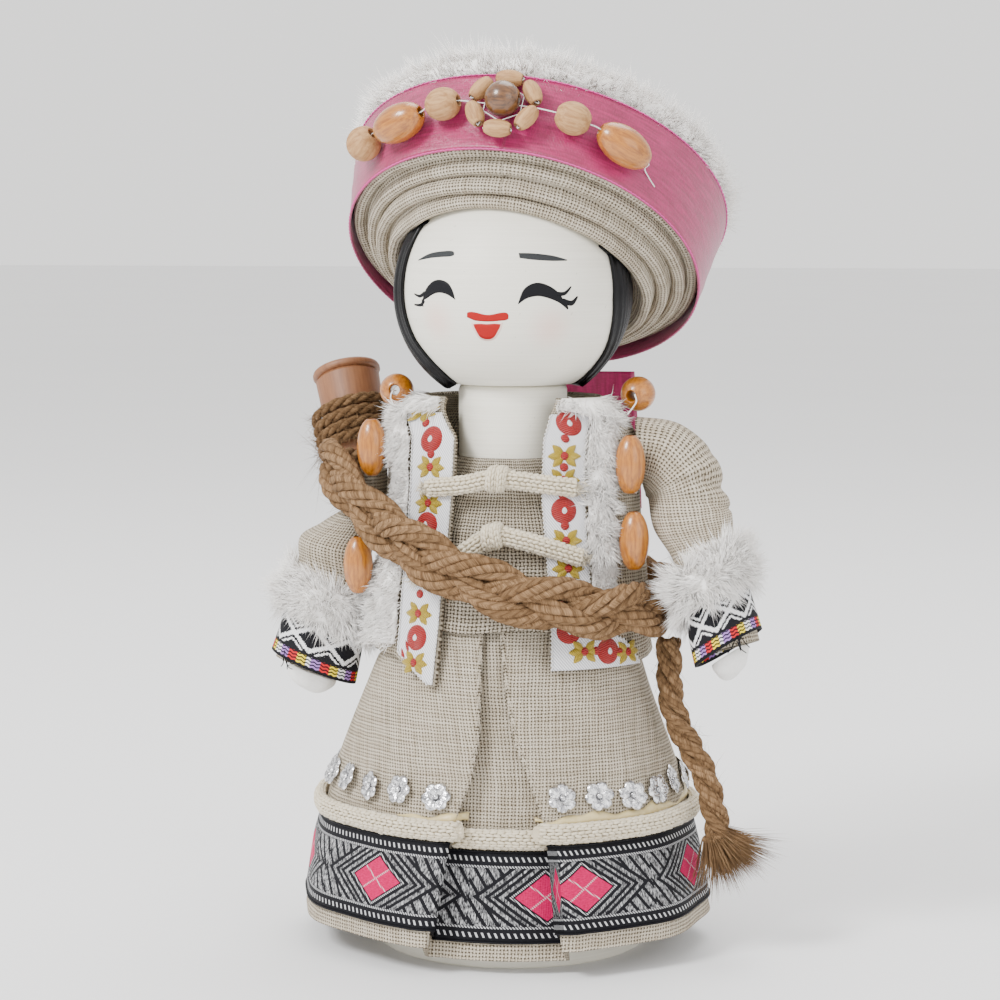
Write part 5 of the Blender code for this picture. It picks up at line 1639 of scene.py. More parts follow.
make_hat_beads()
make_vest_beads()


# Garments


def on_garment(profile, angle, height, out=0.0):
    """A point on a garment, out from its surface along the level normal."""
    a, b = table_at(profile, height)
    t = np.radians(np.asarray(angle, float))
    out = np.asarray(out, float)
    x = a * np.sin(t)
    y = -b * np.cos(t)
    nx = np.sin(t) / a
    ny = -np.cos(t) / b
    size = np.hypot(nx, ny)
    x = x + nx / size * out
    y = y + ny / size * out
    z = np.broadcast_to(np.asarray(height, float), np.shape(x))
    return np.stack([x, y, z], axis=-1)


def smooth_profile(profile, steps=40):
    """A garment's table with its corners rounded."""
    heights = np.linspace(profile[0, 0], profile[-1, 0], steps)
    columns = [heights]
    for k in (1, 2):
        values = np.interp(heights, profile[:, 0], profile[:, k])
        for _ in range(2):
            values[1:-1] = values[1:-1] * 0.5 + (values[:-2] + values[2:]) * 0.25
        columns.append(values)
    return np.stack(columns, axis=1)


def make_bodice():
    profile = smooth_profile(BODICE_PROFILE)
    angles = np.linspace(-180, 180, 121)
    heights = np.linspace(0.0975, 0.1475, 30)
    hem = 0.00035 * (heights < 0.1008)[:, None]
    wave = 0.0005 * ripple(101, np.radians(angles)[None, :] * 5, heights[:, None] * 160)
    grid = on_garment(profile, angles[None, :], heights[:, None], hem + wave)
    dip = 0.0007 * np.sin(np.radians(angles) * 7) * smooth_step((0.104 - heights[:, None]) / 0.006)
    grid[..., 2] += dip
    parts = Parts()
    add_cloth(parts, grid, arc_coords(grid), 0.0006, wrap=True)
    bodice = parts.piece("linen_bodice", OPEN_LINEN, "linen", "bodice")


def vest_hem(angle):
    """Height of the vest's lower edge: mitred at the left front corner, level elsewhere."""
    right = 0.0870 + 0.0020 * np.clip((angle - 60) / 40, 0, 1)
    left = 0.0815 + 0.0075 * np.clip((-angle - 21.5) / 25, 0, 1)
    return np.where(angle > 0, right, left)


def vest_angle_step(height, width):
    """The angle that a width takes on the vest's front at a height."""
    a, b = table_at(VEST_PROFILE, height)
    return np.degrees(width / np.hypot(a * math.cos(0.6), b * math.sin(0.6)))


def make_vest():
    rows = 44
    columns = 140
    share = np.linspace(0, 1, columns + 1)
    grid = np.zeros((rows, columns + 1, 3))
    for k, level in enumerate(np.linspace(0, 1, rows)):
        height = VEST_BOTTOM + (VEST_TOP - VEST_BOTTOM) * level
        left, right = table_at(VEST_OPENING, height)
        angle = right + (left + 360 - right) * share
        turned = np.where(angle > 180, angle - 360, angle)
        drop = (VEST_BOTTOM - vest_hem(turned)) * (1 - smooth_step(level * 5))
        place = height - drop
        wave = 0.0005 * ripple(
            111, np.cos(np.radians(angle)) * 5, np.sin(np.radians(angle)) * 5, height * 90
        )
        front = np.minimum(np.abs(turned - right), np.abs(turned - left)) < 60
        grid[k] = on_garment(VEST_PROFILE, angle, place, np.where(front, 0.0, wave))
    parts = Parts()
    add_cloth(parts, grid, arc_coords(grid), 0.0011)
    vest = parts.piece("linen_vest", LINEN, "linen", "vest")


def ribbon_rows(side):
    """Rows of (height, first angle, last angle) of a front ribbon, as its solid has them."""
    heights = [0.1000, 0.1080, 0.1250, 0.1380, 0.1400, 0.1540, 0.1610]
    rows = []
    for height in heights:
        left, right = table_at(VEST_OPENING, height)
        wide = vest_angle_step(height, LEFT_RIBBON_WIDTH if side < 0 else RIGHT_RIBBON_WIDTH)
        rows.append((height, left - wide, left - 0.5) if side < 0 else (height, right + 0.5, right + wide))
    if side < 0:
        low = []
        for height, share in ((0.0823, 0.12), (0.0860, 0.5), (0.0905, 1.0)):
            left, _ = table_at(VEST_OPENING, height)
            low.append((height, left - vest_angle_step(height, LEFT_RIBBON_WIDTH) * share, left - 0.5))
        return np.array(low + rows)
    inner = rows[0][1]
    corner = [(0.0874, 70.0), (0.0900, 67.0), (0.0950, 60.0), (0.0967, 53.0), (0.0983, 46.0)]
    return np.array([(height, inner, last) for height, last in corner] + rows)


def make_vest_ribbon(side):
    rows = ribbon_rows(side)
    run = np.linspace(rows[0, 0], rows[-1, 0], 90)
    first = np.interp(run, rows[:, 0], rows[:, 1])
    last = np.interp(run, rows[:, 0], rows[:, 2])
    across = np.linspace(0, 1, 25)
    angles = first[:, None] + (last - first)[:, None] * across[None, :]
    grid = on_garment(VEST_PROFILE, angles, run[:, None], VEST_RIBBON_LIFT)
    coords = np.zeros(grid.shape)
    coords[..., 0] = angles * 0.62
    coords[..., 1] = run[:, None] * MM
    name = "left" if side < 0 else "right"
    parts = Parts()
    add_cloth(parts, grid, coords, 0.0005)
    ribbon = parts.piece(f"white_ribbon_{name}", WHITE_RIBBON, "white_ribbon", f"vest_ribbon_{name}")
    return grid


def thread_edge(parts, line, radius, wave, pitch, out):
    """A looped edge: a thin thread that waves along a line."""
    fine, length = even_route(line, 400)
    at = np.linspace(0, length, len(fine))
    ahead = unit(np.gradient(fine, axis=0))
    across = unit(np.cross(out, ahead))
    fine = fine + across * (wave * np.sin(at * 2 * math.pi / pitch))[:, None]
    tube(parts, fine, radius, 5)


def make_vest_trim():
    picot = Parts()
    for side in (-1, 1):
        grid = make_vest_ribbon(side)
        for column in (0, -1):
            line = grid[:, column]
            out = unit(line.mean(axis=0) * (1, 1, 0))
            thread_edge(picot, line + out * 0.00015, 0.00017, 0.00032, 0.0013, out)
    picot.piece("ribbon_picot", PICOT, "white_ribbon")


class Embroidery:
    """Raised stitch fields on a surface, in a frame of across, up and out."""

    def __init__(self):
        self.parts = {"red": Parts(), "gold": Parts(), "white": Parts()}

    def field(self, kind, centre, across, up, out, wide, tall, rise, point=0.0, turn=0.0):
        """A rounded field; point draws its upper end into a tip, turn leans it, in degrees."""
        rings = 5
        around = 26
        t = 2 * math.pi * np.arange(around) / around
        c, s = math.cos(math.radians(turn)), math.sin(math.radians(turn))
        points = [centre + out * rise]
        coords = [(0.0, 0.0, 0.0)]
        for k in range(1, rings + 1):
            share = k / rings
            x = np.cos(t) * wide / 2 * share
            y = np.sin(t) * tall / 2 * share
            x = x * (1 - point * np.clip(np.sin(t), 0, 1))
            height = rise * (1 - share**2.6) if k < rings else -0.0002
            px = x * c - y * s
            py = x * s + y * c
            for a, b, u, v in zip(px, py, x, y):
                points.append(centre + across * a + up * b + out * height)
                coords.append((u * MM, v * MM, 0.0))
        faces = [(0, 1 + j, 1 + (j + 1) % around) for j in range(around)]
        for k in range(rings - 1):
            for j in range(around):
                a = 1 + k * around + j
                b = 1 + k * around + (j + 1) % around
                faces.append((a, a + around, b + around, b))
        self.parts[kind].add(points, faces, coords, 0.5)

    def motif(self, kind, frame):
        """A red flower with a white heart, gold leaves round a red dot, or the dot alone."""
        centre, across, up, out = frame
        if kind == "flower":
            size = FLOWER_SIZE
            self.field("red", centre, across, up, out, size * 0.94, size, 0.0009)
            self.field(
                "white", centre + out * 0.0007, across, up, out, size * 0.24, size * 0.30, 0.0004, 0.4
            )
            return
        if kind != "dot":
            for turn in (-135, -92, -45, 45, 92, 135):
                way = across * math.sin(math.radians(turn)) * 1.15 + up * math.cos(math.radians(turn))
                spot = centre + way * LEAF_SIZE * 0.60
                self.field(
                    "gold", spot, across, up, out, LEAF_SIZE * 0.66, LEAF_SIZE * 1.1, 0.0006, 0.5, -turn
                )
        if kind != "leaves":
            self.field("red", centre + out * 0.0003, across, up, out, 0.0026, 0.0026, 0.0005)


def make_embroidery():
    work = Embroidery()

    def frame_at(angle, height):
        spot = on_garment(VEST_PROFILE, angle, height, VEST_RIBBON_LIFT)
        above = on_garment(VEST_PROFILE, angle, height + 0.002, VEST_RIBBON_LIFT)
        up = unit(above - spot)
        beside = on_garment(VEST_PROFILE, angle + 2, height, VEST_RIBBON_LIFT)
        across = unit(beside - spot)
        return spot, across, up, unit(np.cross(across, up))

    def middle(side, height):
        left, right = table_at(VEST_OPENING, height)
        wide = vest_angle_step(height, LEFT_RIBBON_WIDTH if side < 0 else RIGHT_RIBBON_WIDTH) / 2
        return left - wide if side < 0 else right + wide

    places = {
        -1: (
            ("leaves", 0.1605), ("dot", 0.1577),
            ("flower", 0.1532), ("dot", 0.1488),
            ("sprig", 0.1450), ("sprig", 0.1345),
            ("dot", 0.1398), ("flower", 0.1281),
            ("dot", 0.1236), ("sprig", 0.1190),
            ("dot", 0.1079), ("sprig", 0.1022),
            ("flower", 0.0952), ("sprig", 0.0880),
        ),
        1: (
            ("flower", 0.1583), ("dot", 0.1540),
            ("sprig", 0.1490), ("dot", 0.1457),
            ("sprig", 0.1420), ("dot", 0.1375),
            ("flower", 0.1332), ("dot", 0.1288),
            ("sprig", 0.1245), ("dot", 0.1205),
            ("sprig", 0.1165), ("flower", 0.1085),
        ),
    }
    for side, motifs in places.items():
        for kind, height in motifs:
            work.motif(kind, frame_at(middle(side, height), height))
    for kind, angle, height in (
        ("flower", 33.0, 0.0985),
        ("sprig", 39.5, 0.0925),
        ("dot", 45.0, 0.0925),
        ("flower", 51.0, 0.0921),
        ("dot", 57.0, 0.0915),
        ("sprig", 62.0, 0.0912),
    ):
        work.motif(kind, frame_at(angle, height))
    for angle, height in ((-36.5, 0.0925), (-38.5, 0.0900)):
        frame_here = frame_at(angle, height)
        work.field("red", *frame_here, 0.0014, 0.0042, 0.0003, 0.5, 25)
    work.parts["red"].piece("embroidery_red", RED_STITCH, "white_ribbon")
    work.parts["gold"].piece("embroidery_gold", GOLD_STITCH, "white_ribbon")
    work.parts["white"].piece("embroidery_white", WHITE_STITCH, "white_ribbon")


SASH_LINE, _ = even_route(SASH_ROUTE, 260, closed=True)


def sash_cover(points):
    """1 where the sash presses on the vest's front, 0 well away from it."""
    away = np.min(np.linalg.norm(points[:, None, :] - SASH_LINE[None, ::4, :], axis=2), axis=1)
    return np.clip((0.0205 - away) / 0.005, 0, 1)


def make_vest_fur(side):
    name = "left" if side < 0 else "right"
    widths = VEST_FUR_LEFT if side < 0 else VEST_FUR_RIGHT
    ribbon = LEFT_RIBBON_WIDTH if side < 0 else RIGHT_RIBBON_WIDTH
    low, high = widths[0, 0], widths[-1, 0]

    def spot(heights, share, out):
        left, right = table_at(VEST_OPENING, heights)
        beside = vest_angle_step(heights, ribbon + GAP) + 0.6
        last = beside + vest_angle_step(heights, table_at(widths, heights)[0])
        first = beside * (1 - smooth_step((heights - 0.1600) / 0.0025))
        edge = right if side > 0 else -left
        return on_garment(VEST_PROFILE, side * (edge + first + (last - first) * share), heights, out)

    size = (44, 13)
    grid_heights = np.linspace(low, high, size[0])[:, None]
    grid_share = np.linspace(0.04, 0.96, size[1])[None, :]
    press = sash_cover(spot(grid_heights, grid_share, np.zeros(size)).reshape(-1, 3)).reshape(size)
    crown = np.sin(grid_share * math.pi) ** 0.5
    lump = 1 + 0.18 * ripple(53 + side, grid_heights * 900, grid_share * 3)
    base = spot(grid_heights, grid_share, (0.0026 - 0.0016 * press) * crown * lump + 0.0011)
    parts = Parts()
    add_cloth(parts, base, arc_coords(base), 0.0008, tone=0.8)
    random = np.random.default_rng(50 + side)
    count = VEST_FUR_BLADES[side]
    heights = low - 0.0010 + (high - low + 0.0010) * random.uniform(0, 1, count) ** 0.85
    share = random.uniform(0, 1, count)
    under = spot(heights, share, np.zeros(count))
    press = sash_cover(under)
    roots = spot(heights, share, 0.0011 + (0.0025 - 0.0015 * press) * np.sin(share * math.pi) ** 0.5)
    normals = unit(roots - under + unit(under * (1, 1, 0)) * 1e-4)
    sideways = unit(np.cross(np.broadcast_to(UP, normals.shape), normals)) * (share * 2 - 1)[:, None]
    flow = sideways * 0.5 + np.array((0, 0, -0.45))
    fur_field(parts, roots, normals, flow, 54 + side, VEST_FUR_PILE * (1 - 0.6 * press), 0.0026)
    parts.piece(f"vest_fur_strip_{name}", FUR, "white_fur", f"vest_fur_{name}")


make_bodice()
make_vest()
make_vest_trim()
make_embroidery()
make_vest_fur(-1)
make_vest_fur(1)


# Skirt and its trimming


def skirt_shape(angle, height, panel=None):
    """How far the skirt is folded in at places, and how much lower its recessed panel hangs there."""
    left, right = table_at(PLEAT_EDGES, height)
    share = (height - SKIRT_PROFILE[0, 0]) / (SKIRT_PROFILE[-1, 0] - SKIRT_PROFILE[0, 0])
    depth = PLEAT_DEPTH_BOTTOM + (PLEAT_DEPTH_TOP - PLEAT_DEPTH_BOTTOM) * share
    away = np.maximum(left - angle, angle - right)
    if panel is None:
        panel = 1 - smooth_step(away / PLEAT_WALL_ANGLE)
    fold = SKIRT_FOLD_DEPTH * (1 - share) * np.clip(away / 30, 0, 1)
    fold = fold * (1 - np.cos(np.radians(SKIRT_FOLDS * (angle - right))))
    lip = 0.0007 * np.exp(-(((away - 5.0) / 3.0) ** 2)) * (away > 0)
    return depth * panel + fold * (1 - panel) - lip * (1 - share), PLEAT_DROP * (1 - share) * panel


def skirt_angles():
    """Places round the skirt, from the back, as shares between the edges of the pleat."""
    outer_right = ("right", np.linspace(1, 0, 120)[:-1])
    wall_right = ("wall_right", np.linspace(1, 0, 7)[:-1])
    panel = ("panel", np.linspace(1, 0, 40)[:-1])
    wall_left = ("wall_left", np.linspace(0, 1, 7)[:-1])
    outer_left = ("left", np.linspace(0, 1, 120))
    return [outer_right, wall_right, panel, wall_left, outer_left]


def left_share(angle, height):
    """How much wider the skirt is on its left side than on its right."""
    wide = table_at(SKIRT_LEFT_WIDTHS, height)[0] / table_at(SKIRT_PROFILE, height)[0]
    return np.where(angle < 0, wide, 1.0)


def skirt_grid(heights, out):
    """A grid of points round the skirt, seam at the back, at a distance outside it."""
    rows = []
    for height in heights:
        left, right = (float(v) for v in table_at(PLEAT_EDGES, height))
        edge = PLEAT_WALL_ANGLE * 0.4
        under = edge + PLEAT_UNDERCUT
        angles = []
        panels = []
        for kind, share in skirt_angles():
            if kind == "right":
                angles.append(right + edge + (180 - right - edge) * share)
            elif kind == "wall_right":
                angles.append(right + under + (edge - under) * share)
            elif kind == "panel":
                angles.append(left - under + (right - left + 2 * under) * share)
            elif kind == "wall_left":
                angles.append(left - under + (under - edge) * share)
            else:
                angles.append(left - edge + (-180 - left + edge) * share)
            flap = 1 - share if kind.startswith("wall") else float(kind == "panel")
            panels.append(smooth_step(flap + np.zeros(len(share))))
        angle = np.concatenate(angles)
        inset, drop = skirt_shape(angle, height, np.concatenate(panels))
        wave = 0.0005 * ripple(
            121, np.cos(np.radians(angle)) * 4, np.sin(np.radians(angle)) * 4, height * 60
        )
        line = on_garment(SKIRT_PROFILE_SMOOTH, angle, np.full(angle.shape, height), wave - inset)
        line[:, 0] *= left_share(angle, height)
        ring = line[:-1, :2]
        ahead = unit(np.roll(ring, -1, axis=0) - ring)
        normal_after = np.stack([ahead[:, 1], -ahead[:, 0]], axis=1)
        if np.mean(np.sum(normal_after * ring, axis=1)) < 0:
            normal_after = -normal_after
        normal = unit(normal_after + np.roll(normal_after, 1, axis=0))
        reach = out / np.maximum(0.55, np.sum(normal * normal_after, axis=1))
        moved = ring + normal * reach[:, None]
        line[:-1, :2] = moved
        line[-1, :2] = moved[0]
        line[:, 2] = height - drop
        rows.append(line)
    return np.array(rows)


SKIRT_PROFILE_SMOOTH = smooth_profile(SKIRT_PROFILE, 60)


def make_skirt():
    heights = np.concatenate([[0.0088, 0.0091, 0.0098], np.linspace(0.0110, 0.1000, 42)])
    grid = skirt_grid(heights, 0.0)
    parts = Parts()
    add_cloth(parts, grid, arc_coords(grid, grid.shape[1] // 2), 0.0010, wrap=True)
    skirt = parts.piece("linen_skirt", LINEN, "linen", "skirt")


def make_skirt_ribbon():
    heights = np.linspace(SKIRT_RIBBON_BOTTOM, SKIRT_RIBBON_TOP, 15)
    grid = skirt_grid(heights, 0.0009)
    coords = arc_coords(grid)
    counts = [len(share) for _, share in skirt_angles()]
    panel_first = counts[0] + counts[1]
    panel_last = panel_first + counts[2]
    length = coords[0, :, 0]
    shifted = length.copy()
    right_edge = length[counts[0]]
    left_edge = length[panel_last + counts[3]]
    shifted[: counts[0]] = right_edge - length[: counts[0]] - 9.9
    shifted[counts[0] : panel_last] = (length[counts[0] : panel_last] - length[panel_first]) * -1 + 4.5
    shifted[panel_last:] = left_edge - length[panel_last:] + 22.8
    coords[..., 0] = shifted[None, :]
    coords[..., 1] = (heights * MM - SKIRT_RIBBON_BOTTOM * MM)[:, None]
    parts = Parts()
    add_cloth(parts, grid, coords, 0.0006, wrap=True)
    ribbon = parts.piece("woven_skirt_ribbon", WOVEN_RIBBON, "woven_ribbon", "skirt_ribbon")
    edges = Parts()
    for row in (0, -1):
        line = grid[row, :-1]
        tube(edges, line + np.array((0, 0, 0.0002 if row == 0 else -0.0002)), 0.00030, 5, closed=True)
    edges.piece("woven_ribbon_edges", FACE_BLACK, "woven_ribbon")


def knit_cord(parts, path, out, half_up, half_out, wales, pitch, seed, closed=False):
    """A knitted cord: a smooth core and columns of V-shaped stitches on part of its outline."""
    random = np.random.default_rng(seed)
    path = np.asarray(path, float)
    ring = np.vstack([path, path[:1]]) if closed else path
    outs = np.vstack([out, out[:1]]) if closed else out
    run = np.concatenate([[0.0], np.cumsum(np.linalg.norm(np.diff(ring, axis=0), axis=1))])
    rows = int(run[-1] / pitch)
    _, fitted_out, across = frames_along(path, closed, out)
    sides = 10
    turn = 2 * math.pi * np.arange(sides) / sides
    core = (
        path[:, None, :]
        + fitted_out[:, None, :] * (half_out * 0.74 * np.cos(turn))[None, :, None]
        + across[:, None, :] * (half_up * 0.84 * np.sin(turn))[None, :, None]
    )
    faces = [tuple(f) for f in grid_quads(len(path), sides, closed, True).tolist()]
    points = core.reshape(-1, 3)
    if not closed:
        points = np.vstack([points, path[:1], path[-1:]])
        number = len(path) * sides
        base = number - sides
        faces += [((j + 1) % sides, j, number) for j in range(sides)]
        faces += [(base + j, base + (j + 1) % sides, number + 1) for j in range(sides)]
    # The core's low tone darkens it: painted shade where it shows between the stitches.
    parts.add(points, faces, None, 0.15)

    def read(distance, line):
        """A line's points or directions at distances along the path."""
        return np.stack([np.interp(distance, run, line[:, k]) for k in range(3)], axis=-1)

    def at(distance, angle, swell=1.0):
        distance = np.clip(distance, 0, run[-1])
        centre = read(distance, ring)
        outward = unit(read(distance, outs))
        ahead = unit(read(distance + 0.0006, ring) - read(distance - 0.0006, ring))
        sideways = unit(np.cross(outward, ahead))
        outward = np.cross(ahead, sideways)
        spot = centre + outward * (half_out * swell * np.cos(angle))[:, None]
        spot = spot + sideways * (half_up * swell * np.sin(angle))[:, None]
        facing = unit(
            outward * np.cos(angle)[:, None] / half_out + sideways * np.sin(angle)[:, None] / half_up
        )
        return spot, facing

    step = 2 * math.pi / wales
    for w in range(wales):
        angle = step * (w + 0.5)
        if math.cos(angle) < INWARD:
            continue
        begin = (np.arange(rows) + (0.5 if w % 2 else 0.0)) * pitch
        count = len(begin)
        for side in (-1, 1):
            start, facing = at(begin, np.full(count, angle + side * step * 0.40), 0.80)
            stop, _ = at(begin + pitch * 1.35, np.full(count, angle + side * step * 0.08), 0.86)
            jitter = random.normal(size=(count, 3)) * 0.00006
            spindles(
                parts,
                start + jitter,
                stop + jitter,
                facing,
                min(half_up * step * 0.27, pitch * 0.36),
                half_out * 0.22,
                random.uniform(0.45, 1.0, count),
            )


def make_skirt_cord():
    height = SKIRT_RIBBON_TOP + 2 * GAP + SKIRT_CORD_WIDTH / 2
    grid = skirt_grid([height], 0.0019)
    path = grid[0, :-1][::-1]
    keep = np.concatenate([[True], np.linalg.norm(np.diff(path, axis=0), axis=1) > 1e-6])
    path = path[keep]
    flat = unit(path * (1, 1, 0))
    ahead = unit(np.roll(path, -1, axis=0) - np.roll(path, 1, axis=0))
    side = unit(np.cross(ahead, UP))
    side = side * np.sign(np.sum(side * flat, axis=1))[:, None]
    smooth = side.copy()
    for _ in range(3):
        smooth = unit(np.roll(smooth, 1, axis=0) + smooth * 2 + np.roll(smooth, -1, axis=0))
    parts = Parts()
    knit_cord(parts, path, smooth, SKIRT_CORD_WIDTH / 2, 0.0018, 8, 0.0021, 130, closed=True)
    parts.piece("knitted_skirt_cord", COTTON, "cotton_cord", "skirt_cord")


def skirt_spot(angle, height, out):
    """A point outside the skirt's front or sides, with directions across, up and out there."""

    def at(a, h, o):
        inset, _ = skirt_shape(np.array([a]), h)
        place = on_garment(SKIRT_PROFILE_SMOOTH, np.array([a]), np.array([h]), o - inset)[0]
        return place * (float(left_share(a, h)), 1.0, 1.0)

    spot = at(angle, height, out)
    across = unit(at(angle + 1.5, height, out) - at(angle - 1.5, height, out))
    up = unit(at(angle, height + 0.001, out) - spot)
    return spot, across, up, unit(np.cross(across, up))


def make_sequins():
    """Cupped silver flowers of five or six petals, each fluted and a little turned."""
    random = np.random.default_rng(140)
    left, right = (float(v) for v in table_at(PLEAT_EDGES, SEQUIN_HEIGHT))
    start = right + 3.0
    pitch = (left + 360 - 3.0 - start) / SEQUINS
    parts = Parts()
    eyes = Parts()
    glue = Parts()
    rings = 6
    around = 48
    t = 2 * math.pi * np.arange(around) / around
    for i in range(SEQUINS):
        angle = start + pitch * (i + 0.5)
        angle = angle - 360 if angle > 180 else angle
        height = SEQUIN_HEIGHT + random.uniform(-0.0009, 0.0009)
        spot, across, up, out = skirt_spot(angle, height, 0.0010)
        out = unit(out + up * random.uniform(-0.05, 0.25) + across * random.uniform(-0.2, 0.2))
        across = unit(np.cross(up, out))
        up = np.cross(out, across)
        petals = 6 if random.random() < 0.6 else 5
        phase = random.uniform(0, 2 * math.pi)
        lobe = np.abs(np.cos((t + phase) * petals / 2)) ** 0.55
        layers = []
        for face in (0, 1):
            grid = np.zeros((rings, around, 3))
            for k in range(rings):
                share = (k + 0.8) / (rings - 0.2)
                radius = SEQUIN_RADIUS * share * (1 - 0.30 * (1 - lobe) * share)
                flute = 0.00026 * np.cos((t + phase) * petals * 3) * math.sin(math.pi * share)
                cup = 0.0011 * share**2 - 0.0006 * share**6 + 0.00065 * lobe * math.sin(math.pi * share)
                depth = cup + flute - 0.00022 * face
                grid[k] = (
                    spot
                    + across * (radius * np.cos(t))[:, None]
                    + up * (radius * np.sin(t))[:, None]
                    + out * depth[:, None]
                )
            layers.append(grid)
        number = rings * around
        faces = [tuple(f) for f in grid_quads(rings, around, False, True).tolist()]
        faces += [tuple(number + k for k in reversed(f)) for f in faces]
        for k in (0, rings - 1):
            for j in range(around):
                a, b = k * around + j, k * around + (j + 1) % around
                quad = (a, b, number + b, number + a)
                faces.append(quad if k else quad[::-1])
        local = np.zeros((rings, around, 3))
        local[..., 0] = np.cos(t)[None, :] * np.arange(rings)[:, None] * 0.6 + i * 7
        local[..., 1] = np.sin(t)[None, :] * np.arange(rings)[:, None] * 0.6
        points = np.vstack([layer.reshape(-1, 3) for layer in layers])
        parts.add(points, faces, np.vstack([local.reshape(-1, 3)] * 2), 0.5)
        ball = [(0.0, -0.0006)] + [
            (0.00085 * math.sin(a), -0.0006 * math.cos(a)) for a in (0.6, 1.2, 1.9, 2.5)
        ] + [(0.0, 0.0006)]
        revolve(eyes, ball, 14, spot + out * 0.0006, np.stack([across, up, out]))
    parts.piece("silver_flowers", SEQUIN, "silver_sequins", "sequin_trim")
    eyes.piece("silver_flower_hearts", SEQUIN, "silver_sequins")
    angles = np.linspace(right + 1.0, left + 359.0, 320)
    turned = np.where(angles > 180, angles - 360, angles)
    upper = 0.0462 + 0.0014 * ripple(150, np.radians(angles) * 16)
    rows = []
    for share in np.linspace(0, 1, 6):
        height = 0.0440 + (upper - 0.0440) * share
        inset = np.array([skirt_shape(np.array([a]), h)[0][0] for a, h in zip(turned, height)])
        rise = 0.0009 * math.sin(math.pi * (0.15 + 0.8 * share)) + 0.0001
        rows.append(on_garment(SKIRT_PROFILE_SMOOTH, turned, height, rise - inset))
    grid = np.array(rows)
    add_cloth(glue, grid, arc_coords(grid), 0.0004)
    glue.piece("glue_line", GLUE, "cotton_cord")


make_skirt()
make_skirt_ribbon()
make_skirt_cord()
make_sequins()


# Cotton closures


def make_frogs():
    routes = {
        "upper": ((-31, 0.1390), (-12, 0.1405), (0, 0.1425), (10, 0.1420), (24, 0.1408), (36, 0.1398)),
        "lower": (
            (-32, 0.1125), (-26, 0.1145), (-14, 0.1190), (0, 0.1258), (12, 0.1250), (26, 0.1222),
            (38, 0.1195),
        ),
    }
    knots = {"upper": 2.0, "lower": 1.0}
    for number, (name, places) in enumerate(routes.items()):
        stops = [on_garment(VEST_PROFILE, a, h, 0.0031) for a, h in places]
        path, _ = even_route(stops, 90)
        out = unit(path * (0.5, 1, 0))
        parts = Parts()
        knit_cord(parts, path, out, 0.0026, 0.0016, 6, 0.0017, 160 + number)
        a, b = knots[name], 0.1425 if name == "upper" else 0.1258
        centre = on_garment(VEST_PROFILE, a, b, 0.0034)
        near = np.argmin(np.abs(path[:, 0] - centre[0]))
        ahead = unit(path[near + 2] - path[near - 2])
        outward = unit(centre * (0.5, 1, 0))
        over = unit(np.cross(ahead, outward))
        turns = np.linspace(-0.2 * math.pi, 3.4 * math.pi, 90)
        share = np.linspace(-1, 1, 90)
        loop = (
            centre
            + ahead * (share * 0.0021)[:, None]
            + over * (np.cos(turns) * 0.0030)[:, None]
            + outward * (np.sin(turns) * 0.0021)[:, None]
        )
        away = unit(over * np.cos(turns)[:, None] + outward * np.sin(turns)[:, None])
        knit_cord(parts, loop, away, 0.0017, 0.0012, 6, 0.0015, 170 + number)
        fray = Parts()
        random = np.random.default_rng(180 + number)
        for end, way in ((path[0], path[0] - path[4]), (path[-1], path[-1] - path[-5])):
            count = 90
            spread = random.normal(size=(count, 3)) * 0.6
            ways = unit(unit(way) + spread)
            starts = end + random.normal(size=(count, 3)) * 0.0009
            spikes(
                fray,
                starts,
                ways,
                random.normal(size=(count, 3)) * 0.3,
                random.uniform(0.0012, 0.0032, count),
                random.uniform(0.00012, 0.00022, count),
                random.uniform(0.5, 1, count),
            )
        parts.piece(f"knitted_closure_{name}", COTTON, "cotton_cord", f"frog_{name}")
        fray.piece(f"closure_frayed_ends_{name}", COTTON, "cotton_cord")


make_frogs()


# Arms


